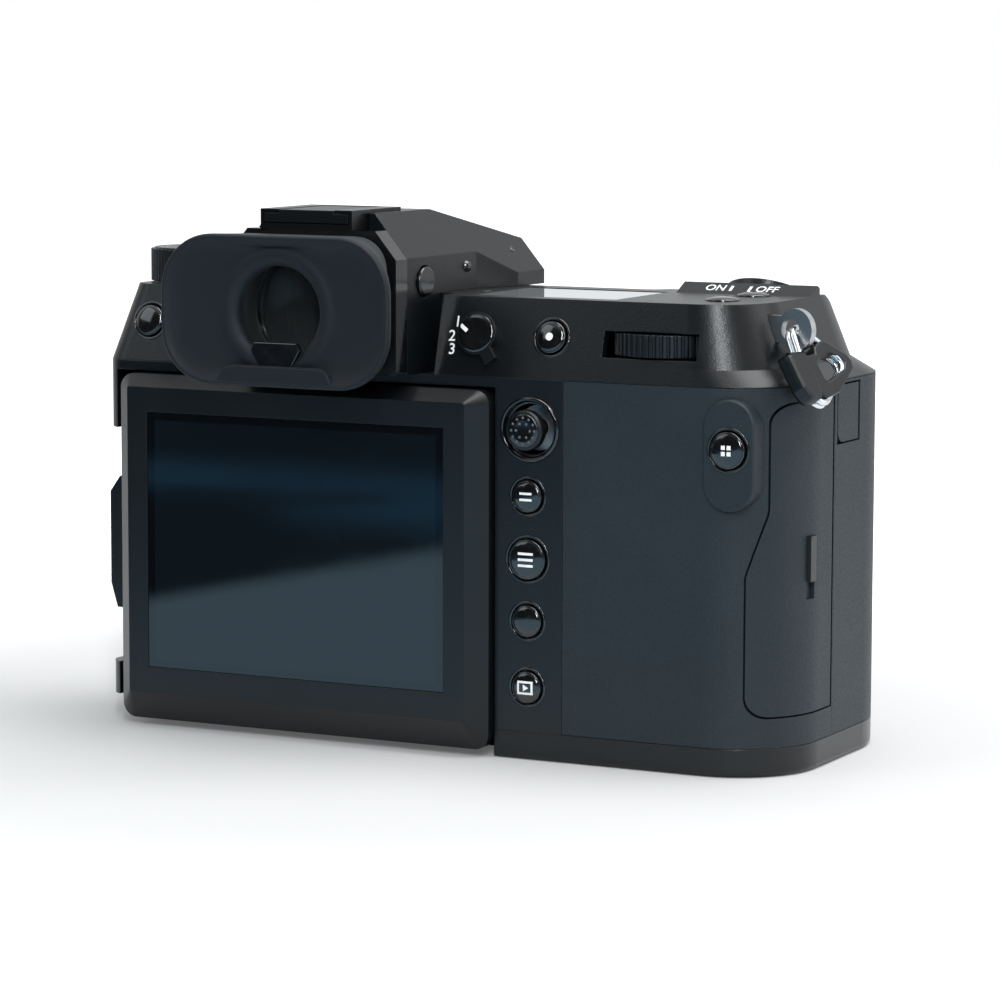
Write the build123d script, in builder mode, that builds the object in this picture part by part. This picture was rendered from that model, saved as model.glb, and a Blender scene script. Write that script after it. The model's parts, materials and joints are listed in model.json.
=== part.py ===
from build123d import *
from math import cos, radians, sin
import os

os.makedirs("parts", exist_ok=True)

# Medium format digital camera, in millimetres.
# The lens looks along -Y, the grip is at -X and +Z is up.
# The origin is on the base, under the lens axis, in the sensor's plane.

# Driving dimensions of the casing
left_x = 52.6
grip_x = -95.6
rear_y = 20.2
front_y = -19.7
parting_y = -4.0
grip_front_y = -43.2
grip_inner_x = -58.0
grip_root_x = -50.0
base_height = 5.5
shoulder_z = 73.4
shoulder_height = 15.1
deck_z = shoulder_z + shoulder_height
hump_height = 15.7
hump_top_z = deck_z + hump_height
lens_axis_z = 43.5
flange_distance = 26.7
wall = 2.0
skin = 1.5
seam = 0.1
gap = 0.3
slip = 0.05
overrun = 4.0

# Corner radii of the casing, seen from above
left_rear_radius = 5.0
thumb_radius = 17.0
grip_outer_radius = 23.0
grip_inner_radius = 8.0
grip_root_radius = 5.0
left_front_radius = 6.0

body_points = [(left_x, rear_y), (grip_x, rear_y), (grip_x, grip_front_y),
               (grip_inner_x, grip_front_y), (grip_root_x, front_y), (left_x, front_y)]
body_radii = [left_rear_radius, thumb_radius, grip_outer_radius,
              grip_inner_radius, grip_root_radius, left_front_radius]

# How far the top of the shoulders draws in from the foot
rear_draft = 3.9
side_draft = 9.0
left_draft = 4.3
grip_draft = 6.7
front_draft = 2.2
deck_grip_x = grip_x + side_draft
deck_rear_y = rear_y - rear_draft
deck_front_y = front_y + front_draft
deck_points = [(left_x - left_draft, deck_rear_y), (deck_grip_x, deck_rear_y),
               (deck_grip_x, grip_front_y + grip_draft),
               (grip_inner_x - front_draft, grip_front_y + grip_draft),
               (grip_root_x - front_draft, deck_front_y), (left_x - left_draft, deck_front_y)]
deck_corner_shares = [0.9, 0.75, 0.83, 0.6, 1, 0.9]
deck_radii = [share * radius for share, radius in zip(deck_corner_shares, body_radii)]
draft_run = deck_z - shoulder_z

# Fold low in the shoulders, where the grip's side and front draw in faster
fold_height = 3.1
side_fold = 4.0
front_fold = 4.0
fold_z = shoulder_z + fold_height
fold_share = fold_height / draft_run
fold_rear_y = rear_y - rear_draft * fold_share
fold_left_x = left_x - left_draft * fold_share
fold_run = front_draft * fold_share
fold_points = [(fold_left_x, fold_rear_y), (grip_x + side_fold, fold_rear_y),
               (grip_x + side_fold, grip_front_y + front_fold),
               (grip_inner_x - fold_run, grip_front_y + front_fold),
               (grip_root_x - fold_run, front_y + fold_run), (fold_left_x, front_y + fold_run)]
fold_radii = [low + (high - low) * fold_share for low, high in zip(body_radii, deck_radii)]

# Display unit and the recess behind it
column_x = -35.6
panel_right_x = -35.25
panel_left_x = 47.4
panel_bottom_z = 1.5
panel_top_z = 71.0
panel_face_y = 25.3
panel_back_y = 17.6
recess_y = 9.5
recess_left_x = 49.5
recess_top_z = 71.5

# Viewfinder
eye_block_half = 18.6
eye_block_rear_y = 28.4
eye_block_front_y = 23.8
eye_block_rise = 12.5
eye_block_top_z = deck_z + eye_block_rise
eye_chamfer_run = 4.5
eye_chamfer_drop = 5.4
eye_drop = 3.1
eye_axis_z = deck_z - eye_drop
eye_bore_radius = 12.6
fairing_front_y = 11.0
step_half = 22.4


def plan_face(points, radii, z, inset=0):
    with BuildSketch(Plane.XY.offset(z)) as plan:
        with BuildLine():
            FilletPolyline(*points, radius=radii, close=True)
        make_face()
        if inset:
            offset(amount=-inset, kind=Kind.INTERSECTION, mode=Mode.REPLACE)
    return plan.sketch


def block(low, high):
    size = [top - bottom for bottom, top in zip(low, high)]
    centre = [(top + bottom) / 2 for bottom, top in zip(low, high)]
    with BuildPart() as solid:
        with Locations(tuple(centre)):
            Box(*size)
    return solid.part


def disc(plane, radius, low, high):
    with BuildPart() as solid:
        with BuildSketch(plane.offset(low)):
            Circle(radius)
        extrude(amount=high - low)
    return solid.part


def save(piece, name):
    piece.part.label = name
    export_step(piece.part, f"parts/{name}.step")


def wall_y(z):
    return rear_y - rear_draft * (z - shoulder_z) / draft_run


# The grip's front wall above the fold
def grip_wall_y(z):
    fold_y, deck_y = grip_front_y + front_fold, grip_front_y + grip_draft
    return fold_y + (deck_y - fold_y) * (z - fold_z) / (deck_z - fold_z)


# Planes that look out of the casing at a place on it
def wall_plane(x, z):
    return Plane(origin=(x, wall_y(z), z), x_dir=(-1, 0, 0), z_dir=(0, draft_run, rear_draft))


def rear_plane(x, y, z):
    return Plane(origin=(x, y, z), x_dir=(-1, 0, 0), z_dir=(0, 1, 0))


def front_plane(x, y, z):
    return Plane(origin=(x, y, z), x_dir=(1, 0, 0), z_dir=(0, -1, 0))


def left_plane(x, y, z):
    return Plane(origin=(x, y, z), x_dir=(0, 1, 0), z_dir=(1, 0, 0))


def deck_plane(x, y, z=deck_z):
    return Plane(origin=(x, y, z), x_dir=(1, 0, 0), z_dir=(0, 0, 1))


# Push buttons: a cap in a hole of the wall and a wider foot behind the wall
button_fit = 0.25
button_foot = 0.6
foot_height = 1.0
press_gap = 0.2
button_round = 0.35


def push_button(plane, radius, proud, through=wall):
    with BuildPart() as button:
        with BuildSketch(plane.offset(-through - press_gap - foot_height)):
            Circle(radius + button_foot)
        extrude(amount=foot_height)
        with BuildSketch(plane.offset(-through - press_gap)):
            Circle(radius)
        extrude(amount=through + press_gap + proud)
        rim = button.edges().filter_by(GeomType.CIRCLE).sort_by(Axis(plane.origin, plane.z_dir))[-1]
        fillet(rim, button_round)
    return button


def button_hole(plane, radius, through=wall):
    return disc(plane, radius + button_fit, -through - overrun / 2, overrun)


# Rear buttons in the column beside the display
column_button_x = -42.7
small_button_radius = 3.1
menu_button_radius = 3.9
button_proud = 0.7
ael_z = 51.0
menu_z = 38.9
back_z = 27.0
play_z = 14.2
rear_buttons = {
    "ael_button": (rear_plane(column_button_x, rear_y, ael_z), small_button_radius),
    "menu_button": (rear_plane(column_button_x, rear_y, menu_z), menu_button_radius),
    "back_button": (rear_plane(column_button_x, rear_y, back_z), small_button_radius),
    "play_button": (rear_plane(column_button_x, rear_y, play_z), small_button_radius),
}

# Buttons on the sloping rear walls of the shoulders
af_button_x = -46.6
drive_button_x = 42.6
shoulder_button_drop = 7.2
shoulder_button_z = deck_z - shoulder_button_drop
wall_buttons = {
    "af_button": (wall_plane(af_button_x, shoulder_button_z), small_button_radius),
    "drive_button": (wall_plane(drive_button_x, shoulder_button_z), small_button_radius),
}

# Buttons on the deck behind the shutter button
deck_button_x = -76.0
deck_button_rear_y = 4.8
deck_button_front_y = -9.7
deck_button_radius = 3.2
deck_button_proud = 0.4
deck_buttons = {
    "deck_button_rear": (deck_plane(deck_button_x, deck_button_rear_y), deck_button_radius),
    "deck_button_front": (deck_plane(deck_button_x, deck_button_front_y), deck_button_radius),
}

# Joystick in its well at the top of the column
joystick_x = -43.0
joystick_z = 63.8
joystick_well_radius = 6.0
joystick_cap_radius = 3.9
joystick_stem_radius = 1.6
joystick_proud = 2.8
joystick_cap_height = 2.0
yoke_radius = 4.4
yoke_height = 2.2
yoke_depth = 3.4
yoke_pin_radius = 0.6
yoke_pin_reach = 0.6

# Quick menu button on the raised pad of the thumb rest
quick_x = -84.4
quick_z = 62.0
quick_radius = 3.5
pad_width = 10.5
pad_height = 21.0
pad_centre_z = 60.9
pad_y = 20.9
pad_round = 0.5

# Rear dial behind its window in the shoulder
rear_dial_x = -67.2
rear_dial_drop = 8.0
rear_dial_z = deck_z - rear_dial_drop
rear_dial_radius = 10.5
rear_dial_height = 4.2
rear_dial_proud = 1.4
rear_dial_y = wall_y(rear_dial_z) + rear_dial_proud - rear_dial_radius
dial_window_width = 19.4
dial_window_height = 5.0
dial_post_radius = 2.0

# Front dial in the top of the grip, under the shutter button
front_dial_x = -70.0
front_dial_drop = 11.6
front_dial_z = deck_z - front_dial_drop
front_dial_radius = 8.2
front_dial_height = 4.2
front_dial_proud = 1.4
front_dial_y = grip_wall_y(front_dial_z) - front_dial_proud + front_dial_radius
front_window_width = 15.6
front_window_height = 5.0

# Focus lever disc at the left end of the shoulder wall
focus_x = -31.2
focus_z = shoulder_button_z
focus_radius = 4.1
focus_height = 1.5
focus_tab_length = 6.4
focus_tab_width = 2.6
focus_pin_radius = 1.2
focus_rest_angle = -55.0

# Mode dial on the left shoulder
mode_x = 39.5
mode_y = 3.9
mode_radius = 10.0
mode_height = 6.4
mode_lift = 0.3
mode_post_radius = 3.0
mode_post_height = 4.6
flute_radius = 0.35
mode_flutes = 60
rear_flutes = 48
front_flutes = 40

# Shutter button and power lever on the slope that falls forward from the ridge
ridge_height = 1.9
ridge_foot_y = -12.4
ridge_y = -16.4
ridge_inner_x = -58.6
slope_drop = 11.9
ridge_z = deck_z + ridge_height
slope_run = ridge_y - grip_front_y
shutter_x = -72.0
shutter_y = -25.5
shutter_radius = 5.2
shutter_height = 2.2
collar_radius = 8.0
collar_height = 1.8
lever_reach = 11.4
lever_width = 3.6
lever_rest_angle = -72.0


def slope_z(y):
    return ridge_z - slope_drop * (ridge_y - y) / slope_run


def slope_plane(x, y):
    return Plane(origin=(x, y, slope_z(y)), x_dir=(1, 0, 0), z_dir=(0, -slope_drop, slope_run))



# Lens mount
throat_radius = 32.5
ring_radius = 39.2
ring_thickness = 2.2
boss_radius = 41.0
shell_throat_radius = 34.0
mount_y = -flange_distance
boss_y = mount_y + ring_thickness
screw_circle_radius = 35.9
screw_head_radius = 1.5
screw_head_height = 0.9
screw_shank_radius = 0.8
screw_length = 5.2
mount_screw_count = 4
mount_screw_turn = 45.0

# Lens release button beside the mount
release_x = 44.5
release_z = 27.0
release_radius = 3.9
release_height = 3.4
release_foot_gap = 2.2

# Leatherette on the front left corner
leather_x = 41.5
leather_y = -6.5

# Card door round the rear corner of the grip side
door_top_z = 70.3
door_bottom_z = 11.5
door_upper_x = -90.6
door_lower_x = -87.0
door_bend_top_z = 50.0
door_bend_bottom_z = 38.0
door_front_y = -2.9
door_gap = 0.35
door_corner = 4.0
door_window_top_z = 65.0
door_window_bottom_z = 17.0
door_window_front_y = 4.0
door_window_rear_y = 14.2
door_pin_radius = 0.4
door_pin_reach = 1.4

# Catch that slides in the card door
latch_y = 6.5
latch_z = 40.8
latch_height = 8.6
latch_width = 2.6
latch_room = 3.4
latch_depth = 1.0
latch_proud = 0.5

# Card reader behind the door
reader_depth = 29.0
reader_side_gap = 0.5
reader_front_y = 5.3
reader_rear_y = 13.6
reader_bottom_z = 19.0
reader_top_z = 63.0
card_slot_height = 24.6
card_slot_width = 2.6
card_slot_depth = 22.0

# Battery in the grip, and its door in the base
battery_width = 22.8
battery_depth = 36.0
battery_height = 50.0
battery_bottom_z = 2.4
battery_x = -76.0
battery_y = -13.6
battery_door_margin = 1.6
battery_door_thickness = 1.8
battery_door_gap = 0.3
collar_wall = 0.8
collar_top_z = 18.5

# Tripod socket with the clear wall of a quarter-inch thread
tripod_radius = 3.175
tripod_barrel_radius = 5.0
tripod_flange_radius = 7.0
tripod_depth = 6.5
tripod_height = 8.0
tripod_flange = 1.5

# Remote socket cover at the front of the grip's side
remote_top_z = 72.4
remote_bottom_z = 61.5
remote_rear_y = -5.4
remote_front_y = -16.2
remote_round = 2.4
remote_jack_radius = 1.8

# Ports on the left side, under one cover
port_top_z = 62.0
port_bottom_z = 13.0
port_front_y = -2.0
port_rear_y = 5.6
port_depth = 6.0
port_cover_margin = 1.5
port_cover_thickness = 1.6
port_count = 4
port_width = 3.4
port_height = 8.0

# Display frame, arm and carrier
carrier_thickness = 1.0
carrier_width = 12.0
carrier_bottom_z = 8.0
carrier_top_z = 56.0
side_hinge_x = -33.4
side_hinge_y = 12.9
side_barrel_radius = 1.3
side_pin_radius = 0.6
frame_front_y = 11.5
frame_back_y = 13.5
frame_bottom_z = 3.0
frame_top_z = 55.0
frame_right_x = -31.4
frame_left_x = 47.6
frame_window_margin = 9.0
tab_left_x = 53.35
tab_bottom_z = 27.7
tab_top_z = 46.3
tab_low_slope = (1.5, 5.0)
tab_high_slope = (2.3, 3.2)
tab_back_y = 16.8
arm_front_y = 14.0
arm_back_y = 16.2
arm_bar = 6.0
arm_right_x = -29.0
arm_left_x = 42.0
arm_bottom_z = 9.6
arm_top_z = 58.0
low_hinge_y = 19.6
low_hinge_z = 6.2
high_hinge_y = 20.6
high_hinge_z = 65.0
lug_radius = 2.1
lug_width = 4.0
lug_gap = 0.3
lug_inset = 21.0
hinge_pin_radius = 0.8
panel_chamfer_run = 3.4
panel_side_slope = 3.6
panel_bottom_slope = 5.8
panel_top_slope = 2.3
panel_corner = 3.0
panel_face_corner = 0.5
notch_depth_y = 23.1
notch_room = 0.8
glass_left_x = 39.2
glass_right_x = -27.0
glass_bottom_z = 12.7
glass_top_z = 63.7
glass_thickness = 1.2
glass_sink = 0.15
lcd_latch_height = 5.3
lcd_latch_z = 39.45
lcd_latch_proud = 0.75
lcd_latch_depth = 2.4
lcd_latch_travel = 2.5

# Strap lugs, each a plate square to the casing with a hole for its ring
lug_drop = 4.6
right_lug_place = (-92.0, 8.9, deck_z - lug_drop)
right_lug_out = (-0.966, 0.259, 0)
left_lug_place = (53.2, -9.0, deck_z - lug_drop)
left_lug_out = (1, 0, 0)
strap_hole_radius = 2.1
strap_lug_radius = 4.0
strap_lug_shift = 1.0
strap_lug_thickness = 1.4
strap_lug_root = 7.4
strap_lug_root_height = 5.0

# Strap rings: two turns of wire bent to a triangle, hanging from the lug's hole
ring_wire_radius = 0.65
ring_wire_offset = 0.6
ring_corner = 2.2
ring_points = [(0.64, -2.25), (5.4, 18.4), (-9.4, 8.6)]
right_ring_tilt = 33.0
left_ring_tilt = 25.0

# Inside the casing
sensor_width = 54.0
sensor_height = 44.0
sensor_glass = 1.5
stage_thickness = 2.6
stage_margin = 3.2
board_thickness = 1.6
board_y = 4.6
board_left_x = 44.4
board_link_x = -64.0
board_right_x = -33.0
board_bottom_z = 9.5
board_top_z = 71.0
shutter_front_y = -13.5
shutter_back_y = -6.0
shutter_half_width = 33.0
shutter_bottom_z = 9.5
shutter_top_z = 68.5
aperture_half_width = 23.5
aperture_half_height = 18.0
curtain_thickness = 0.6
curtain_height = 15.0
curtain_half_width = 26.0
curtain_bottom_z = 10.0
curtain_room = 0.3
shutter_post_x = 30.2
shutter_post_z = 22.5
shutter_post_radius = 2.5

# Hot shoe: rails for a standard foot
shoe_half = 10.05
shoe_front_y = 10.6
shoe_rear_y = 30.2
shoe_height = 3.9
shoe_top_z = eye_block_top_z + shoe_height
shoe_floor = 1.1
shoe_channel_half = 9.35
shoe_mouth_half = 6.3
shoe_channel_height = 2.1
shoe_cover_fit = 0.15

# Eyecup
cup_half_width = 25.4
cup_height = 29.0
cup_rise = 0.7
cup_rear_y = 43.3
cup_lip_y = 40.9
cup_front_half = 17.8
cup_front_height = 25.2
cup_front_rise = 2.2
cup_corner = 11.0
cup_front_corner = 6.0
cup_eye_half_width = 16.0
cup_eye_half_height = 10.6

# Window of the top monitor
monitor_right_x = -57.2
monitor_left_x = -27.2
monitor_front_y = -12.0
monitor_rear_y = 12.2
monitor_thickness = 1.2


# A band of skin on the casing, or the room that it takes off the casing, within a block
def skin_ring(inset, margin, region):
    with BuildPart() as ring:
        extrude(plan_face(body_points, body_radii, base_height - margin),
                amount=shoulder_z - base_height + 2 * margin)
        extrude(plan_face(body_points, body_radii, base_height - margin - overrun, inset),
                amount=shoulder_z - base_height + 2 * (margin + overrun), mode=Mode.SUBTRACT)
        add(region, mode=Mode.INTERSECT)
    return ring.part


skin_band = skin_ring(skin, -seam, block((grip_x - overrun, grip_front_y - overrun, 0),
                                         (grip_root_x - seam, rear_y + overrun, shoulder_z)))
skin_room = skin_ring(skin + seam, overrun, block((grip_x - overrun, grip_front_y - overrun, -overrun),
                                                  (grip_root_x, rear_y + overrun, shoulder_z + overrun)))
leather_band = skin_ring(skin, -seam, block((leather_x + seam, front_y - overrun, 0),
                                            (left_x + overrun, leather_y - seam, shoulder_z)))
leather_room = skin_ring(skin + seam, overrun, block((leather_x, front_y - overrun, -overrun),
                                                     (left_x + overrun, leather_y, shoulder_z + overrun)))

rear_half = block((grip_x - overrun, parting_y, -overrun),
                  (left_x + overrun, rear_y + overrun, deck_z + overrun))
front_half = block((grip_x - overrun, grip_front_y - overrun, -overrun),
                   (left_x + overrun, parting_y - seam, deck_z + overrun))


def door_prism(grow):
    outer = -grip_x + overrun
    upper = -door_upper_x - grow
    lower = -door_lower_x - grow
    with BuildPart() as prism:
        with BuildSketch(rear_plane(0, door_front_y - grow, 0)):
            with BuildLine():
                FilletPolyline((outer, door_top_z + grow), (upper, door_top_z + grow),
                               (upper, door_bend_top_z), (lower, door_bend_bottom_z),
                               (lower, door_bottom_z - grow), (outer, door_bottom_z - grow),
                               radius=[0, door_corner, 2 * door_corner, door_corner, door_corner, 0],
                               close=True)
            make_face()
        extrude(amount=rear_y - door_front_y + overrun)
    return prism.part


# Rear casing: the wall behind the display steps forward into a recess
with BuildPart() as rear_cavity:
    extrude(plan_face(body_points, body_radii, base_height - overrun, wall + skin),
            amount=shoulder_z - base_height + 2 * overrun)
    add(block((column_x - wall, recess_y - wall, base_height - 2 * overrun),
              (left_x + overrun, rear_y + overrun, recess_top_z + wall)), mode=Mode.SUBTRACT)
    add(block((grip_root_x, recess_y, base_height - 2 * overrun),
              (column_x - wall, rear_y - wall, shoulder_z + 2 * overrun)))

tab_notch_bottom_z = 12.1
tab_notch_top_z = 59.7
tab_notch_y = 11.0
quick_through = pad_y - rear_y + skin + seam + wall
foot_room = disc(rear_plane(quick_x, pad_y, quick_z), quick_radius + button_foot + button_fit,
                 recess_y - pad_y, -quick_through)
with BuildPart() as rear_shell:
    extrude(plan_face(body_points, body_radii, base_height), amount=shoulder_z - base_height)
    add(rear_half, mode=Mode.INTERSECT)
    add(skin_room, mode=Mode.SUBTRACT)
    add(block((column_x, recess_y, base_height - overrun),
              (recess_left_x, rear_y + overrun, recess_top_z)), mode=Mode.SUBTRACT)
    add(rear_cavity.part, mode=Mode.SUBTRACT)
    add(block((recess_left_x - overrun, tab_notch_y, tab_notch_bottom_z),
              (left_x + overrun, rear_y + overrun, tab_notch_top_z)), mode=Mode.SUBTRACT)
    add(block((left_x - wall - skin - overrun, port_front_y, port_bottom_z),
              (left_x + overrun, port_rear_y, port_top_z)), mode=Mode.SUBTRACT)
    add(block((left_x - port_cover_thickness - seam, port_front_y - port_cover_margin,
               port_bottom_z - port_cover_margin),
              (left_x + overrun, port_rear_y + port_cover_margin, port_top_z + port_cover_margin)),
        mode=Mode.SUBTRACT)
    add(block((grip_x - overrun, door_window_front_y, door_window_bottom_z),
              (grip_x + skin + wall + overrun, door_window_rear_y, door_window_top_z)), mode=Mode.SUBTRACT)
    for plane, radius in rear_buttons.values():
        add(button_hole(plane, radius), mode=Mode.SUBTRACT)
    add(button_hole(rear_plane(joystick_x, rear_y, joystick_z), joystick_well_radius), mode=Mode.SUBTRACT)
    add(button_hole(rear_plane(quick_x, rear_y, quick_z), quick_radius, rear_y - recess_y),
        mode=Mode.SUBTRACT)
    add(foot_room, mode=Mode.SUBTRACT)
save(rear_shell, "rear_shell")

# Front casing: the grip's core, the front wall and the boss of the mount
with BuildPart() as front_shell:
    extrude(plan_face(body_points, body_radii, base_height), amount=shoulder_z - base_height)
    add(front_half, mode=Mode.INTERSECT)
    add(skin_room, mode=Mode.SUBTRACT)
    add(leather_room, mode=Mode.SUBTRACT)
    extrude(plan_face(body_points, body_radii, base_height - overrun, wall + skin),
            amount=shoulder_z - base_height + 2 * overrun, mode=Mode.SUBTRACT)
    add(disc(front_plane(0, front_y, lens_axis_z), boss_radius, 0, front_y - boss_y))
    add(disc(front_plane(0, front_y, lens_axis_z), shell_throat_radius, -wall - 2 * overrun, 2 * overrun),
        mode=Mode.SUBTRACT)
    add(disc(front_plane(release_x, front_y, release_z), release_radius + button_fit,
             -wall - skin - overrun, overrun), mode=Mode.SUBTRACT)
    with Locations(front_plane(0, boss_y, lens_axis_z)):
        with PolarLocations(screw_circle_radius, mount_screw_count, mount_screw_turn):
            Hole(screw_shank_radius + slip, screw_length)
    add(disc(left_plane(grip_x, (remote_front_y + remote_rear_y) / 2, (remote_top_z + remote_bottom_z) / 2),
             remote_jack_radius, 0, skin + wall + overrun), mode=Mode.SUBTRACT)
save(front_shell, "front_shell")

# Thumb rest with its raised pad, and the grip's rubber
with BuildPart() as thumb_rubber:
    add(skin_band)
    add(rear_half, mode=Mode.INTERSECT)
    with BuildSketch(rear_plane(quick_x, rear_y - pad_width / 2, pad_centre_z)):
        SlotOverall(pad_height, pad_width, rotation=90)
    extrude(amount=pad_width / 2 + pad_y - rear_y)
    pad_rim = thumb_rubber.faces().sort_by(Axis.Y)[-1].edges()
    fillet(pad_rim, pad_round)
    extrude(plan_face(body_points, body_radii, base_height - overrun, skin),
            amount=shoulder_z - base_height + 2 * overrun, mode=Mode.SUBTRACT)
    add(door_prism(door_gap), mode=Mode.SUBTRACT)
    add(disc(rear_plane(quick_x, rear_y, quick_z), quick_radius + button_fit, -pad_width, pad_width),
        mode=Mode.SUBTRACT)
    add(foot_room, mode=Mode.SUBTRACT)
    pin_axis_x = grip_x + skin / 2
    add(disc(deck_plane(pin_axis_x, door_front_y, door_bottom_z), skin / 2 + door_gap,
             -door_gap, door_top_z - door_bottom_z + door_gap), mode=Mode.SUBTRACT)
    add(disc(deck_plane(pin_axis_x, door_front_y, door_bottom_z), door_pin_radius + slip,
             -door_pin_reach - gap, door_top_z - door_bottom_z + door_pin_reach + gap), mode=Mode.SUBTRACT)
save(thumb_rubber, "thumb_rubber")

remote_low = (grip_x - overrun, remote_front_y, remote_bottom_z)
remote_high = (grip_x + skin + overrun, remote_rear_y, remote_top_z)
with BuildPart() as grip_rubber:
    add(skin_band)
    add(front_half, mode=Mode.INTERSECT)
    add(block([low - door_gap for low in remote_low], [high + door_gap for high in remote_high]),
        mode=Mode.SUBTRACT)
save(grip_rubber, "grip_rubber")

remote_axis_y = remote_front_y + skin / 2
with BuildPart() as remote_cover:
    add(skin_band)
    add(block((grip_x - overrun, remote_axis_y, remote_bottom_z), remote_high), mode=Mode.INTERSECT)
    fillet(remote_cover.edges().filter_by(Axis.X).group_by(Axis.Y)[-1], remote_round)
    add(disc(deck_plane(grip_x + skin / 2, remote_axis_y, remote_bottom_z), skin / 2,
             0, remote_top_z - remote_bottom_z))
save(remote_cover, "remote_cover")

# Card door: its front edge is a bead round the hinge pin
with BuildPart() as card_door:
    add(skin_band)
    add(door_prism(0), mode=Mode.INTERSECT)
    add(disc(deck_plane(pin_axis_x, door_front_y, door_bottom_z), skin / 2, 0, door_top_z - door_bottom_z))
    add(block((grip_x - overrun, latch_y - latch_width / 2 - slip, latch_z - latch_height / 2 - latch_room),
              (grip_x + latch_depth, latch_y + latch_width / 2 + slip, latch_z + latch_height / 2 + slip)),
        mode=Mode.SUBTRACT)
    add(disc(deck_plane(pin_axis_x, door_front_y, door_bottom_z), door_pin_radius,
             -door_pin_reach, door_top_z - door_bottom_z + door_pin_reach))
save(card_door, "card_door")

with BuildPart() as card_door_latch:
    add(block((grip_x - latch_proud / 2, latch_y - latch_width / 2, latch_z - latch_height / 2),
              (grip_x + latch_depth - slip, latch_y + latch_width / 2, latch_z + latch_height / 2)))
save(card_door_latch, "card_door_latch")


# Top cover: both shoulders drawn in towards the deck, hollow, with the grip's ridge and slope
def shoulder_loft(inset):
    with BuildPart() as solid:
        add(plan_face(body_points, body_radii, shoulder_z, inset))
        add(plan_face(fold_points, fold_radii, fold_z, inset))
        add(plan_face(deck_points, deck_radii, deck_z, inset))
        loft(ruled=True)
    return solid.part


# Plane of a strap lug: its x runs out of the casing and its normal along the hole
def lug_plane(place, out):
    return Plane(origin=place, x_dir=out, z_dir=Vector(*out).cross(Vector(0, 0, 1)))


def lug_root(place, out, grow):
    with BuildPart() as root:
        with BuildSketch(lug_plane(place, out).offset(-strap_lug_thickness / 2 - grow)):
            with Locations((-strap_lug_root / 2, 0)):
                Rectangle(strap_lug_root + 2 * grow, strap_lug_root_height + 2 * grow)
        extrude(amount=strap_lug_thickness + 2 * grow)
    return root.part


shutter_plane = slope_plane(shutter_x, shutter_y)
with BuildPart() as cover_cavity:
    add(shoulder_loft(wall))
    split(bisect_by=shutter_plane.offset(-wall), keep=Keep.BOTTOM)
    add(block((grip_x, grip_front_y - overrun, deck_z - wall), (left_x, rear_y, deck_z + overrun)),
        mode=Mode.SUBTRACT)
    add(block((-step_half - wall, fairing_front_y - wall, shoulder_z - overrun),
              (step_half + wall, rear_y + overrun, deck_z)), mode=Mode.SUBTRACT)

with BuildPart() as ridge:
    with BuildSketch(left_plane(deck_grip_x, 0, 0)):
        with BuildLine():
            Polyline((ridge_foot_y, deck_z - wall / 2), (ridge_foot_y, deck_z), (ridge_y, ridge_z),
                     (deck_front_y, ridge_z), (deck_front_y, deck_z - wall / 2), close=True)
        make_face()
    extrude(amount=ridge_inner_x - deck_grip_x)
    extrude(plan_face(deck_points, deck_radii, deck_z - overrun), amount=2 * overrun, mode=Mode.INTERSECT)

with BuildPart() as top_cover:
    add(shoulder_loft(0))
    add(ridge.part)
    split(bisect_by=shutter_plane, keep=Keep.BOTTOM)
    add(cover_cavity.part, mode=Mode.SUBTRACT)
    add(block((-step_half, fairing_front_y, shoulder_z - overrun),
              (step_half, rear_y + overrun, deck_z + overrun)), mode=Mode.SUBTRACT)
    for plane, radius in list(wall_buttons.values()) + list(deck_buttons.values()):
        add(button_hole(plane, radius), mode=Mode.SUBTRACT)
    add(button_hole(shutter_plane, shutter_radius), mode=Mode.SUBTRACT)
    add(disc(shutter_plane, shutter_radius + button_foot + button_fit, -wall - overrun, -wall),
        mode=Mode.SUBTRACT)
    add(disc(wall_plane(focus_x, focus_z), focus_pin_radius + slip, -wall - overrun / 2, overrun),
        mode=Mode.SUBTRACT)
    add(block((rear_dial_x - dial_window_width / 2, rear_dial_y, rear_dial_z - dial_window_height / 2),
              (rear_dial_x + dial_window_width / 2, rear_y + overrun, rear_dial_z + dial_window_height / 2)),
        mode=Mode.SUBTRACT)
    add(block((front_dial_x - front_window_width / 2, grip_front_y - overrun,
               front_dial_z - front_window_height / 2),
              (front_dial_x + front_window_width / 2, front_dial_y, front_dial_z + front_window_height / 2)),
        mode=Mode.SUBTRACT)
    add(disc(deck_plane(rear_dial_x, rear_dial_y), dial_post_radius,
             rear_dial_z - rear_dial_height / 2 - deck_z, -wall))
    add(disc(deck_plane(front_dial_x, front_dial_y, front_dial_z), dial_post_radius,
             -front_dial_height / 2, slope_z(front_dial_y) - front_dial_z - wall / 2))
    add(disc(deck_plane(mode_x, mode_y), mode_post_radius, -wall, mode_post_height))
    add(block((monitor_right_x, monitor_front_y, deck_z - monitor_thickness),
              (monitor_left_x, monitor_rear_y, deck_z + overrun)), mode=Mode.SUBTRACT)
    for place, out in ((right_lug_place, right_lug_out), (left_lug_place, left_lug_out)):
        add(lug_root(place, out, slip), mode=Mode.SUBTRACT)
    add(disc(front_plane(0, front_y, lens_axis_z), shell_throat_radius, -wall - 2 * overrun, 2 * overrun),
        mode=Mode.SUBTRACT)
save(top_cover, "top_cover")

with BuildPart() as top_monitor:
    add(block((monitor_right_x + seam, monitor_front_y + seam, deck_z - monitor_thickness),
              (monitor_left_x - seam, monitor_rear_y - seam, deck_z - seam)))
save(top_monitor, "top_monitor")

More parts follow.
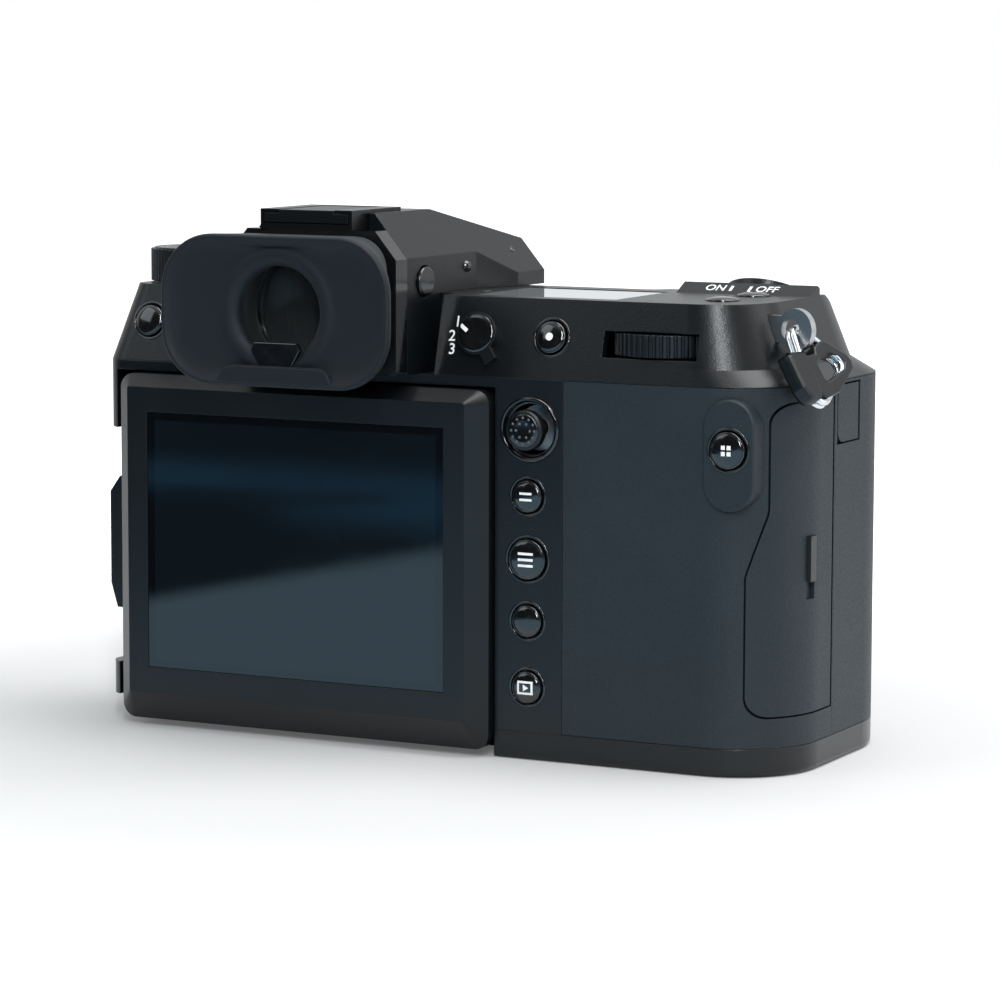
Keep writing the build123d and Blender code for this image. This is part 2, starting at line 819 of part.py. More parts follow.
# Prism hump on the deck: a flat top, a brow that falls forward and a steep facet on either side
hump_front_y = -24.0
hump_front_half = 24.2
hump_side_half = 23.8
hump_side_y = -13.0
hump_waist_half = 19.6
hump_waist_y = -3.0
facet_low_rise = 7.2
facet_high_half = 13.4
facet_high_rise = 13.4
crest_half = 12.3
crest_y = 2.9
brow_front_rise = 9.0
hump_plan = [(eye_block_half, eye_block_front_y), (hump_waist_half, hump_waist_y),
             (hump_side_half, hump_side_y), (hump_front_half, hump_front_y)]
hump_outline = hump_plan + [(-x, y) for x, y in reversed(hump_plan)]
hump_wall_run = eye_block_front_y - hump_waist_y
hump_flare = hump_waist_half - eye_block_half


# Half the width of the hump beside the eyepiece, and the plane of its wall on one side
def hump_half(y):
    return eye_block_half + hump_flare * (eye_block_front_y - y) / hump_wall_run


def hump_plane(side, y, z):
    return Plane(origin=(side * hump_half(y), y, z), x_dir=(-hump_flare, side * hump_wall_run, 0),
                 z_dir=(side * hump_wall_run, hump_flare, 0))


# View mode button on the side towards the grip
view_y = 17.3
view_rise = 2.5
view_radius = 2.9
view_depth = 2.0
view_proud = 0.7
view_plane = hump_plane(-1, view_y, deck_z + view_rise)

# Dioptre dial on the other side, low down
dioptre_y = 18.0
dioptre_drop = 4.4
dioptre_radius = 2.9
dioptre_height = 1.8
dioptre_flutes = 24
dioptre_pin_radius = 1.0
dioptre_pin_length = 3.0
dioptre_plane = hump_plane(1, dioptre_y, eye_axis_z - dioptre_drop)


def facet(first, second, third):
    a, b, c = Vector(*first), Vector(*second), Vector(*third)
    normal = (b - a).cross(c - a)
    if normal.Z < 0:
        normal = -normal
    return Plane(origin=a, z_dir=normal)


with BuildPart() as viewfinder_housing:
    with BuildSketch(Plane.XY.offset(deck_z)):
        with BuildLine():
            Polyline(*hump_outline, close=True)
        make_face()
    extrude(amount=hump_top_z - deck_z)
    for side in (-1, 1):
        side_facet = facet((side * eye_block_half, eye_block_front_y, deck_z + facet_low_rise),
                           (side * facet_high_half, eye_block_front_y, deck_z + facet_high_rise),
                           (side * crest_half, crest_y, hump_top_z))
        split(bisect_by=side_facet, keep=Keep.BOTTOM)
    split(bisect_by=facet((0, crest_y, hump_top_z), (crest_half, crest_y, hump_top_z),
                          (0, hump_front_y, deck_z + brow_front_rise)), keep=Keep.BOTTOM)
    with BuildSketch(Plane.XY.offset(shoulder_z + seam)):
        with BuildLine():
            fairing_half = hump_half(fairing_front_y)
            Polyline((eye_block_half, eye_block_front_y), (fairing_half, fairing_front_y + seam),
                     (-fairing_half, fairing_front_y + seam), (-eye_block_half, eye_block_front_y), close=True)
        make_face()
    extrude(amount=deck_z - shoulder_z)
    hump_room = block((-crest_half, hump_front_y + overrun, deck_z - overrun),
                      (crest_half, fairing_front_y - wall, deck_z + brow_front_rise - wall))
    add(hump_room, mode=Mode.SUBTRACT)
    add(block((-shoe_half - seam, shoe_front_y - seam, eye_block_top_z),
              (shoe_half + seam, eye_block_rear_y, hump_top_z + overrun)), mode=Mode.SUBTRACT)
    add(disc(view_plane, view_radius + button_fit, -view_depth - seam, overrun), mode=Mode.SUBTRACT)
    add(disc(view_plane, view_radius + button_foot + button_fit, -view_depth - overrun / 2, -view_depth),
        mode=Mode.SUBTRACT)
    add(disc(dioptre_plane, dioptre_pin_radius + slip, -dioptre_pin_length - gap, overrun), mode=Mode.SUBTRACT)
    add(disc(rear_plane(0, eye_block_front_y, eye_axis_z), eye_bore_radius,
             fairing_front_y + wall - eye_block_front_y, overrun), mode=Mode.SUBTRACT)
save(viewfinder_housing, "viewfinder_housing")

# Glossy frame of the eyepiece, with its chamfered top corners
frame_outline = [(eye_block_half, shoulder_z + seam), (eye_block_half, eye_block_top_z - eye_chamfer_drop),
                 (eye_block_half - eye_chamfer_run, eye_block_top_z)]
with BuildPart() as eyepiece_frame:
    with BuildSketch(rear_plane(0, eye_block_front_y, 0)):
        with BuildLine():
            Polyline(*frame_outline, *[(-x, z) for x, z in reversed(frame_outline)], close=True)
        make_face()
    extrude(amount=eye_block_rear_y - eye_block_front_y)
    add(disc(rear_plane(0, eye_block_rear_y, eye_axis_z), eye_bore_radius, -2 * overrun, overrun),
        mode=Mode.SUBTRACT)
save(eyepiece_frame, "eyepiece_frame")

lens_edge = 2.6
lens_bulge = 1.6
lens_radius = eye_bore_radius - seam
with BuildPart() as eyepiece_lens:
    with BuildSketch(left_plane(0, eye_block_front_y, eye_axis_z)):
        with BuildLine():
            Polyline((lens_edge, 0), (-lens_bulge, 0))
            ThreePointArc((-lens_bulge, 0), (-lens_bulge * 3 / 4, lens_radius / 2), (0, lens_radius))
            Line((0, lens_radius), (lens_edge, lens_radius))
            Line((lens_edge, lens_radius), (lens_edge, 0))
        make_face()
    revolve(axis=Axis((0, 0, eye_axis_z), (0, 1, 0)))
save(eyepiece_lens, "eyepiece_lens")

panel_half_width = 8.2
panel_half_height = 6.4
finder_panel_thickness = 1.8
finder_plate_radius = 11.4
finder_y = fairing_front_y + wall + seam
with BuildPart() as finder_display:
    add(block((-panel_half_width, finder_y, eye_axis_z - panel_half_height),
              (panel_half_width, finder_y + finder_panel_thickness, eye_axis_z + panel_half_height)))
    add(disc(rear_plane(0, finder_y, eye_axis_z), finder_plate_radius, 0, finder_panel_thickness / 2))
save(finder_display, "finder_display")

# Eyecup: a soft flared collar with an oval eye opening
with BuildPart() as eyecup:
    with BuildSketch(rear_plane(0, eye_block_rear_y + seam, eye_axis_z + cup_front_rise)):
        RectangleRounded(2 * cup_front_half, cup_front_height, cup_front_corner)
    with BuildSketch(rear_plane(0, cup_lip_y, eye_axis_z + cup_rise)):
        RectangleRounded(2 * cup_half_width, cup_height, cup_corner)
    loft(ruled=True)
    with BuildSketch(rear_plane(0, cup_lip_y, eye_axis_z + cup_rise)):
        RectangleRounded(2 * cup_half_width, cup_height, cup_corner)
    extrude(amount=cup_rear_y - cup_lip_y)
    fillet(eyecup.edges().group_by(Axis.Y)[-1], wall / 2)
    with BuildSketch(rear_plane(0, eye_block_rear_y + seam, eye_axis_z)):
        Ellipse(eye_bore_radius - wall, eye_bore_radius - wall - seam)
    with BuildSketch(rear_plane(0, cup_rear_y + seam, eye_axis_z)):
        Ellipse(cup_eye_half_width, cup_eye_half_height)
    loft(ruled=True, mode=Mode.SUBTRACT)
save(eyecup, "eyecup")

# Hot shoe: a plate with two turned rails, and the cover that slides into it
shoe_floor_z = eye_block_top_z + seam
with BuildPart() as hot_shoe:
    add(block((-shoe_half, shoe_front_y, shoe_floor_z), (shoe_half, shoe_rear_y, shoe_top_z)))
    channel_z = shoe_floor_z + shoe_floor
    add(block((-shoe_channel_half, shoe_front_y + wall / 2, channel_z),
              (shoe_channel_half, shoe_rear_y + overrun, channel_z + shoe_channel_height)), mode=Mode.SUBTRACT)
    add(block((-shoe_mouth_half, shoe_front_y + wall / 2, channel_z),
              (shoe_mouth_half, shoe_rear_y + overrun, shoe_top_z + overrun)), mode=Mode.SUBTRACT)
save(hot_shoe, "hot_shoe")

with BuildPart() as hot_shoe_cover:
    add(block((-shoe_channel_half + shoe_cover_fit, shoe_front_y + wall / 2 + gap, channel_z + shoe_cover_fit),
              (shoe_channel_half - shoe_cover_fit, shoe_rear_y,
               channel_z + shoe_channel_height - shoe_cover_fit)))
    add(block((-shoe_mouth_half + shoe_cover_fit, shoe_front_y + wall / 2 + gap, channel_z + shoe_cover_fit),
              (shoe_mouth_half - shoe_cover_fit, shoe_rear_y, shoe_top_z - seam)))
save(hot_shoe_cover, "hot_shoe_cover")

# Buttons
for name, (plane, radius) in rear_buttons.items():
    save(push_button(plane, radius, button_proud), name)
for name, (plane, radius) in wall_buttons.items():
    save(push_button(plane, radius, button_proud), name)
for name, (plane, radius) in deck_buttons.items():
    save(push_button(plane, radius, deck_button_proud), name)
save(push_button(rear_plane(quick_x, pad_y, quick_z), quick_radius, button_proud, quick_through),
     "quick_button")
save(push_button(shutter_plane, shutter_radius, shutter_height), "shutter_button")
save(push_button(view_plane, view_radius, view_proud, view_depth), "view_button")


# Dials: a fluted rim and a bore for the post that it turns on
def fluted_disc(plane, radius, height, flutes):
    with BuildPart() as rim:
        with BuildSketch(plane):
            Circle(radius)
            with PolarLocations(radius, flutes):
                Circle(flute_radius, mode=Mode.SUBTRACT)
        extrude(amount=height)
    return rim.part


mode_plane = deck_plane(mode_x, mode_y, deck_z + mode_lift)
with BuildPart() as mode_dial:
    add(fluted_disc(mode_plane, mode_radius, mode_height, mode_flutes))
    add(disc(mode_plane, mode_radius - 2 * flute_radius, mode_height, mode_height + mode_lift))
    add(disc(mode_plane, mode_post_radius + slip, 0, mode_post_height - mode_lift + gap), mode=Mode.SUBTRACT)
save(mode_dial, "mode_dial")

rear_dial_plane = deck_plane(rear_dial_x, rear_dial_y, rear_dial_z - rear_dial_height / 2)
with BuildPart() as rear_dial:
    add(fluted_disc(rear_dial_plane, rear_dial_radius, rear_dial_height, rear_flutes))
    add(disc(rear_dial_plane, dial_post_radius + slip, -overrun, rear_dial_height + overrun),
        mode=Mode.SUBTRACT)
save(rear_dial, "rear_dial")

front_dial_plane = deck_plane(front_dial_x, front_dial_y, front_dial_z - front_dial_height / 2)
with BuildPart() as front_dial:
    add(fluted_disc(front_dial_plane, front_dial_radius, front_dial_height, front_flutes))
    add(disc(front_dial_plane, dial_post_radius + slip, -overrun, front_dial_height + overrun),
        mode=Mode.SUBTRACT)
save(front_dial, "front_dial")

with BuildPart() as dioptre_dial:
    add(fluted_disc(dioptre_plane.offset(seam), dioptre_radius, dioptre_height, dioptre_flutes))
    add(disc(dioptre_plane, dioptre_pin_radius, -dioptre_pin_length, dioptre_height))
save(dioptre_dial, "dioptre_dial")

# Power lever: a collar round the shutter button with a finger tab
with BuildPart() as power_lever:
    lever_middle = (collar_radius + lever_reach) / 2
    with BuildSketch(shutter_plane.offset(seam)):
        Circle(collar_radius)
        with Locations((lever_middle * cos(radians(lever_rest_angle)),
                        lever_middle * sin(radians(lever_rest_angle)))):
            Rectangle(lever_reach - shutter_radius, lever_width, rotation=lever_rest_angle)
        Circle(shutter_radius + button_fit, mode=Mode.SUBTRACT)
    extrude(amount=collar_height)
save(power_lever, "power_lever")

# Focus lever: a disc with a finger tab, on a pin through the wall
with BuildPart() as focus_lever:
    with BuildSketch(wall_plane(focus_x, focus_z).offset(seam)):
        Circle(focus_radius)
        with Locations((focus_tab_length / 2 * cos(radians(focus_rest_angle)),
                        focus_tab_length / 2 * sin(radians(focus_rest_angle)))):
            Rectangle(focus_tab_length, focus_tab_width, rotation=focus_rest_angle)
    extrude(amount=focus_height)
    add(disc(wall_plane(focus_x, focus_z), focus_pin_radius, -wall, focus_height))
save(focus_lever, "focus_lever")

# Joystick: a yoke that tilts on its two side pins, and a stick that tilts in it on a pin across
joystick_y = rear_y - wall - yoke_depth
stick_plane = rear_plane(joystick_x, joystick_y, joystick_z)
yoke_pin_plane = left_plane(joystick_x, joystick_y, joystick_z)
stick_pin_plane = deck_plane(joystick_x, joystick_y, joystick_z)
with BuildPart() as joystick_yoke:
    add(disc(stick_plane, yoke_radius, -yoke_height / 2, yoke_height / 2))
    add(disc(yoke_pin_plane, yoke_pin_radius, -yoke_radius - yoke_pin_reach, yoke_radius + yoke_pin_reach))
    add(disc(stick_plane, joystick_stem_radius + button_fit, -yoke_height, yoke_height), mode=Mode.SUBTRACT)
    add(disc(stick_pin_plane, yoke_pin_radius + slip, -yoke_radius, yoke_radius), mode=Mode.SUBTRACT)
save(joystick_yoke, "joystick_yoke")
with BuildPart() as joystick:
    stick_top = rear_y + joystick_proud - joystick_y
    add(disc(stick_plane, joystick_stem_radius, -yoke_height / 2, stick_top - joystick_cap_height / 2))
    add(disc(stick_pin_plane, yoke_pin_radius, -yoke_radius + gap, yoke_radius - gap))
    add(disc(stick_plane, joystick_cap_radius, stick_top - joystick_cap_height, stick_top))
    fillet(joystick.faces().sort_by(Axis.Y)[-1].edges(), joystick_cap_height / 3)
save(joystick, "joystick")

# Base cover: a tray with the battery's opening and the tripod socket's seat
battery_low_x = battery_x - battery_width / 2 - battery_door_margin
battery_high_x = battery_x + battery_width / 2 + battery_door_margin
battery_low_y = battery_y - battery_depth / 2 - battery_door_margin
battery_high_y = battery_y + battery_depth / 2 + battery_door_margin
foot_round = 1.2
with BuildPart() as battery_collar:
    extrude(plan_face(body_points, body_radii, wall, wall + skin + seam), amount=collar_top_z - wall)
    add(block((battery_low_x - collar_wall, battery_low_y - collar_wall, 0),
              (battery_high_x + collar_wall, battery_high_y + collar_wall, collar_top_z)), mode=Mode.INTERSECT)
    add(block((battery_x - battery_width / 2 - gap, battery_y - battery_depth / 2 - gap, 0),
              (battery_x + battery_width / 2 + gap, battery_y + battery_depth / 2 + gap,
               collar_top_z + overrun)), mode=Mode.SUBTRACT)

with BuildPart() as base_cover:
    extrude(plan_face(body_points, body_radii, 0), amount=base_height)
    fillet(base_cover.edges().group_by(Axis.Z)[0], foot_round)
    add(block((column_x, recess_y, -overrun), (left_x + overrun, rear_y + overrun, base_height + overrun)),
        mode=Mode.SUBTRACT)
    extrude(plan_face(body_points, body_radii, wall, wall), amount=base_height, mode=Mode.SUBTRACT)
    add(block((column_x - wall, recess_y - wall, wall), (left_x - wall, recess_y, base_height)))
    add(block((column_x - wall, recess_y, wall), (column_x, rear_y - wall, base_height)))
    add(block((battery_low_x, battery_low_y, -overrun), (battery_high_x, battery_high_y, base_height)),
        mode=Mode.SUBTRACT)
    add(disc(deck_plane(0, 0, 0), tripod_flange_radius + slip, -overrun, wall + overrun), mode=Mode.SUBTRACT)
    add(battery_collar.part)
save(base_cover, "base_cover")

with BuildPart() as tripod_socket:
    add(disc(deck_plane(0, 0, 0), tripod_flange_radius, 0, tripod_flange + wall))
    add(disc(deck_plane(0, 0, 0), tripod_barrel_radius, 0, tripod_height))
    add(disc(deck_plane(0, 0, 0), tripod_radius, -overrun, tripod_depth), mode=Mode.SUBTRACT)
save(tripod_socket, "tripod_socket")

# Battery and its door, which hinges on its inner edge
with BuildPart() as battery:
    add(block((battery_x - battery_width / 2, battery_y - battery_depth / 2, battery_bottom_z),
              (battery_x + battery_width / 2, battery_y + battery_depth / 2,
               battery_bottom_z + battery_height)))
    fillet(battery.edges().filter_by(Axis.Z), battery_door_margin)
save(battery, "battery")

door_bead = battery_door_thickness / 2
battery_axis_x = battery_high_x - battery_door_gap - door_bead
with BuildPart() as battery_door:
    add(block((battery_low_x + battery_door_gap, battery_low_y + battery_door_gap, 0),
              (battery_axis_x, battery_high_y - battery_door_gap, battery_door_thickness)))
    add(disc(rear_plane(battery_axis_x, battery_low_y + battery_door_gap, door_bead), door_bead,
             0, battery_high_y - battery_low_y - 2 * battery_door_gap))
save(battery_door, "battery_door")

# Lens mount: the ring, its screws and the contact block inside the throat
ring_plane = front_plane(0, boss_y, lens_axis_z)
with BuildPart() as lens_mount_ring:
    with BuildSketch(ring_plane):
        Circle(ring_radius)
        Circle(throat_radius, mode=Mode.SUBTRACT)
    extrude(amount=ring_thickness)
    with Locations(front_plane(0, mount_y, lens_axis_z)):
        with PolarLocations(screw_circle_radius, mount_screw_count, mount_screw_turn):
            CounterBoreHole(screw_shank_radius + slip, screw_head_radius + slip, screw_head_height,
                            ring_thickness)
save(lens_mount_ring, "lens_mount_ring")

with BuildPart() as mount_screws:
    with Locations(front_plane(0, mount_y, lens_axis_z)):
        with PolarLocations(screw_circle_radius, mount_screw_count, mount_screw_turn):
            Cylinder(screw_head_radius, screw_head_height, align=(Align.CENTER, Align.CENTER, Align.MAX))
            Cylinder(screw_shank_radius, screw_length, align=(Align.CENTER, Align.CENTER, Align.MAX))
save(mount_screws, "mount_screws")

contact_count = 12
contact_radius = 0.7
contact_pitch = 2.2
contact_drop = 26.6
contact_depth = 5.0
contact_height = 3.6
contact_y = boss_y + ring_thickness
with BuildPart() as mount_contacts:
    contact_span = contact_pitch * contact_count
    add(block((-contact_span / 2, contact_y, lens_axis_z - contact_drop - contact_height / 2),
              (contact_span / 2, contact_y + contact_depth, lens_axis_z - contact_drop + contact_height / 2)))
    with Locations(front_plane(0, contact_y, lens_axis_z - contact_drop)):
        with GridLocations(contact_pitch, contact_pitch, contact_count, 1):
            Cylinder(contact_radius, contact_radius, align=(Align.CENTER, Align.CENTER, Align.MIN))
    add(block((-contact_span / 2, contact_y + contact_depth, lens_axis_z - contact_drop - contact_height / 2),
              (contact_span / 2, shutter_front_y, lens_axis_z - contact_drop + contact_height / 2)))
save(mount_contacts, "mount_contacts")

with BuildPart() as lens_release_button:
    release_plane = front_plane(release_x, front_y, release_z)
    add(disc(release_plane, release_radius, -wall - skin - release_foot_gap, release_height))
    add(disc(release_plane, release_radius + button_foot, -wall - skin - release_foot_gap - foot_height,
             -wall - skin - release_foot_gap))
    fillet(lens_release_button.faces().sort_by(Axis.Y)[0].edges(), button_round)
save(lens_release_button, "lens_release_button")

with BuildPart() as front_leather:
    add(leather_band)
    add(disc(front_plane(0, front_y, lens_axis_z), boss_radius + gap, -overrun, overrun), mode=Mode.SUBTRACT)
    add(disc(release_plane, release_radius + button_fit, -overrun, overrun), mode=Mode.SUBTRACT)
save(front_leather, "front_leather")

# Shutter: a frame round the light path, with a slot for the curtain
with BuildPart() as shutter_frame:
    add(block((-shutter_half_width, shutter_front_y, shutter_bottom_z),
              (shutter_half_width, shutter_back_y, shutter_top_z)))
    add(block((-aperture_half_width, shutter_front_y - overrun, lens_axis_z - aperture_half_height),
              (aperture_half_width, shutter_back_y + overrun, lens_axis_z + aperture_half_height)),
        mode=Mode.SUBTRACT)
    curtain_y = (shutter_front_y + shutter_back_y) / 2
    add(block((-curtain_half_width - curtain_room, curtain_y - curtain_thickness / 2 - curtain_room,
               curtain_bottom_z - curtain_room),
              (curtain_half_width + curtain_room, curtain_y + curtain_thickness / 2 + curtain_room,
               shutter_top_z - wall)), mode=Mode.SUBTRACT)
    with Locations(front_plane(0, shutter_front_y, lens_axis_z)):
        with GridLocations(2 * shutter_post_x, 2 * shutter_post_z, 2, 2):
            Cylinder(shutter_post_radius, shutter_front_y - front_y - wall - skin,
                     align=(Align.CENTER, Align.CENTER, Align.MIN))
save(shutter_frame, "shutter_frame")
with BuildPart() as shutter_curtain:
    add(block((-curtain_half_width, curtain_y - curtain_thickness / 2, curtain_bottom_z),
              (curtain_half_width, curtain_y + curtain_thickness / 2, curtain_bottom_z + curtain_height)))
save(shutter_curtain, "shutter_curtain")

# Image sensor in front of its stage; the sensor's face is the film plane
sensor_package = 1.2
stage_y = sensor_package + 4 * seam
with BuildPart() as image_sensor:
    add(block((-sensor_width / 2, -sensor_glass, lens_axis_z - sensor_height / 2),
              (sensor_width / 2, sensor_package, lens_axis_z + sensor_height / 2)))
save(image_sensor, "image_sensor")
with BuildPart() as sensor_stage:
    add(block((-sensor_width / 2 - stage_margin, stage_y, lens_axis_z - sensor_height / 2 - stage_margin),
              (sensor_width / 2 + stage_margin, stage_y + stage_thickness,
               lens_axis_z + sensor_height / 2 + stage_margin)))
    add(block((-sensor_width / 4, stage_y - overrun, lens_axis_z - sensor_height / 4),
              (sensor_width / 4, stage_y + overrun, lens_axis_z + sensor_height / 4)), mode=Mode.SUBTRACT)
save(sensor_stage, "sensor_stage")

# Main board with the card reader at its grip end
reader_face_x = grip_x + skin + wall + reader_side_gap
reader_z = (reader_bottom_z + reader_top_z) / 2
slot_pitch = (reader_rear_y - reader_front_y) / 2
with BuildPart() as card_reader:
    extrude(plan_face(body_points, body_radii, reader_bottom_z, skin + wall + reader_side_gap),
            amount=reader_top_z - reader_bottom_z)
    add(block((reader_face_x, reader_front_y, reader_bottom_z),
              (reader_face_x + reader_depth, reader_rear_y, reader_top_z)), mode=Mode.INTERSECT)
    for slot_y in (reader_front_y + slot_pitch / 2, reader_rear_y - slot_pitch / 2):
        add(block((reader_face_x - overrun, slot_y - card_slot_width / 2, reader_z - card_slot_height / 2),
                  (reader_face_x + card_slot_depth, slot_y + card_slot_width / 2,
                   reader_z + card_slot_height / 2)), mode=Mode.SUBTRACT)
with BuildPart() as main_board:
    add(block((board_right_x, board_y, board_bottom_z), (board_left_x, board_y + board_thickness, board_top_z)))
    add(block((board_link_x, board_y, reader_bottom_z),
              (board_right_x, board_y + board_thickness, reader_top_z)))
    add(card_reader.part)
save(main_board, "main_board")

# Ports in the left wall, and their soft cover with a bead on its front edge
port_face_x = left_x - port_cover_thickness - 2 * seam
port_z_pitch = (port_top_z - port_bottom_z) / port_count
port_y = (port_front_y + port_rear_y) / 2
with BuildPart() as port_block:
    add(block((port_face_x - port_depth, port_front_y + seam, port_bottom_z + seam),
              (port_face_x, port_rear_y - seam, port_top_z - seam)))
    for index in range(port_count):
        port_z = port_bottom_z + (index + 0.5) * port_z_pitch
        add(block((port_face_x - port_depth + wall, port_y - port_width / 2, port_z - port_height / 2),
                  (port_face_x + overrun, port_y + port_width / 2, port_z + port_height / 2)),
            mode=Mode.SUBTRACT)
save(port_block, "port_block")
port_bead = port_cover_thickness / 2
port_axis_y = port_front_y - port_cover_margin + gap + port_bead
port_low_z = port_bottom_z - port_cover_margin + seam
port_high_z = port_top_z + port_cover_margin - seam
with BuildPart() as port_cover:
    add(block((left_x - port_cover_thickness, port_axis_y, port_low_z),
              (left_x, port_rear_y + port_cover_margin - seam, port_high_z)))
    add(disc(deck_plane(left_x - port_bead, port_axis_y, port_low_z), port_bead, 0, port_high_z - port_low_z))
save(port_cover, "port_cover")


# Strap lugs and rings
def strap_lug(place, out):
    with BuildPart() as lug:
        with BuildSketch(lug_plane(place, out).offset(-strap_lug_thickness / 2)):
            with Locations((strap_lug_shift, 0)):
                Circle(strap_lug_radius)
        extrude(amount=strap_lug_thickness)
        add(lug_root(place, out, 0))
        add(disc(lug_plane(place, out), strap_hole_radius, -overrun, overrun), mode=Mode.SUBTRACT)
    return lug.part


with BuildPart() as strap_lugs:
    add(strap_lug(right_lug_place, right_lug_out))
    add(strap_lug(left_lug_place, left_lug_out))
save(strap_lugs, "strap_lugs")


def strap_ring(place, out, tilt):
    hang = sin(radians(tilt)) * Vector(*out) - cos(radians(tilt)) * Vector(0, 0, 1)
    across = Vector(0, 0, 1).cross(Vector(*out))
    if across.Y < 0:
        across = -across
    turn = Plane(origin=place, x_dir=across, z_dir=across.cross(hang))
    with BuildPart() as ring:
        with BuildLine(turn) as path:
            FilletPolyline(*ring_points, radius=ring_corner, close=True)
        with BuildSketch(Plane(origin=path.line @ 0, x_dir=turn.z_dir, z_dir=path.line % 0)):
            with Locations((ring_wire_offset, 0), (-ring_wire_offset, 0)):
                Circle(ring_wire_radius)
        sweep(path=path.line)
    return ring


strap_ring_right = strap_ring(right_lug_place, right_lug_out, right_ring_tilt)
save(strap_ring_right, "strap_ring_right")
strap_ring_left = strap_ring(left_lug_place, left_lug_out, left_ring_tilt)
save(strap_ring_left, "strap_ring_left")


# Display group, from the casing out: carrier, side frame, tilt arm, panel
def side_profile(points, x, width):
    with BuildPart() as lug:
        with BuildSketch(left_plane(x - width / 2, 0, 0)):
            with BuildLine():
                Polyline(*points, close=True)
            make_face()
        extrude(amount=width)
    return lug.part


def hinge_rod(y, z, radius, x, width):
    return disc(left_plane(x, y, z), radius, -width / 2, width / 2)


carrier_right_x = side_hinge_x - side_barrel_radius
ear_height = wall
with BuildPart() as lcd_carrier:
    add(block((carrier_right_x, recess_y + 2 * seam, carrier_bottom_z),
              (carrier_right_x + carrier_width, recess_y + 2 * seam + carrier_thickness, carrier_top_z)))
    for ear_z in (carrier_bottom_z, carrier_top_z - ear_height):
        add(block((carrier_right_x, recess_y + 2 * seam, ear_z),
                  (carrier_right_x + 2 * side_barrel_radius, side_hinge_y, ear_z + ear_height)))
        add(disc(deck_plane(side_hinge_x, side_hinge_y, ear_z), side_barrel_radius, 0, ear_height))
    add(disc(deck_plane(side_hinge_x, side_hinge_y, carrier_bottom_z), side_pin_radius,
             0, carrier_top_z - carrier_bottom_z))
save(lcd_carrier, "lcd_carrier")

arm_lug_places = [arm_right_x + lug_inset, arm_left_x - lug_inset]
frame_lug_places = [arm_lug_places[0] + lug_width + lug_gap, arm_lug_places[1] - lug_width - lug_gap]
barrel_bottom_z = carrier_bottom_z + ear_height + gap
barrel_top_z = carrier_top_z - ear_height - gap
frame_lug_top_z = low_hinge_z + lug_radius + gap
frame_lug_points = [(frame_front_y, frame_bottom_z), (low_hinge_y, low_hinge_z - lug_radius),
                    (low_hinge_y, low_hinge_z + lug_radius), (frame_back_y, frame_lug_top_z),
                    (frame_front_y, frame_lug_top_z)]
latch_slot = lcd_latch_height / 2
tab_foot_z = tab_bottom_z - tab_low_slope[1]
tab_head_z = tab_top_z + tab_high_slope[1]
with BuildPart() as lcd_frame:
    add(block((frame_right_x, frame_front_y, frame_bottom_z), (frame_left_x, frame_back_y, frame_top_z)))
    add(block((frame_right_x + frame_window_margin, frame_front_y - overrun,
               frame_bottom_z + frame_window_margin),
              (frame_left_x - frame_window_margin, frame_back_y + overrun,
               frame_top_z - frame_window_margin)), mode=Mode.SUBTRACT)
    add(block((side_hinge_x, frame_back_y - side_barrel_radius, barrel_bottom_z),
              (frame_right_x + wall, frame_back_y, barrel_top_z)))
    add(disc(deck_plane(side_hinge_x, side_hinge_y, barrel_bottom_z), side_barrel_radius,
             0, barrel_top_z - barrel_bottom_z))
    add(disc(deck_plane(side_hinge_x, side_hinge_y, barrel_bottom_z), side_pin_radius + slip,
             -overrun, barrel_top_z - barrel_bottom_z + overrun), mode=Mode.SUBTRACT)
    with BuildSketch(rear_plane(0, frame_front_y, 0)):
        with BuildLine():
            Polyline((-frame_left_x + wall, tab_foot_z), (-tab_left_x + tab_low_slope[0], tab_foot_z),
                     (-tab_left_x, tab_bottom_z), (-tab_left_x, tab_top_z),
                     (-tab_left_x + tab_high_slope[0], tab_head_z), (-frame_left_x + wall, tab_head_z),
                     close=True)
        make_face()
    extrude(amount=tab_back_y - frame_front_y)
    tab_y = (frame_front_y + tab_back_y) / 2
    add(block((tab_left_x - lcd_latch_depth, tab_y - wall / 2 - slip,
               lcd_latch_z - latch_slot - lcd_latch_travel - slip),
              (tab_left_x + overrun, tab_y + wall / 2 + slip, lcd_latch_z + latch_slot + slip)),
        mode=Mode.SUBTRACT)
    for x in frame_lug_places:
        add(side_profile(frame_lug_points, x, lug_width))
        add(hinge_rod(low_hinge_y, low_hinge_z, lug_radius, x, lug_width))
    for frame_x, arm_x in zip(frame_lug_places, arm_lug_places):
        add(hinge_rod(low_hinge_y, low_hinge_z, hinge_pin_radius, (frame_x + arm_x) / 2,
                      2 * lug_width + lug_gap))
save(lcd_frame, "lcd_frame")

with BuildPart() as lcd_latch:
    add(block((tab_left_x - lcd_latch_depth + slip, tab_y - wall / 2, lcd_latch_z - latch_slot),
              (tab_left_x + lcd_latch_proud, tab_y + wall / 2, lcd_latch_z + latch_slot)))
save(lcd_latch, "lcd_latch")

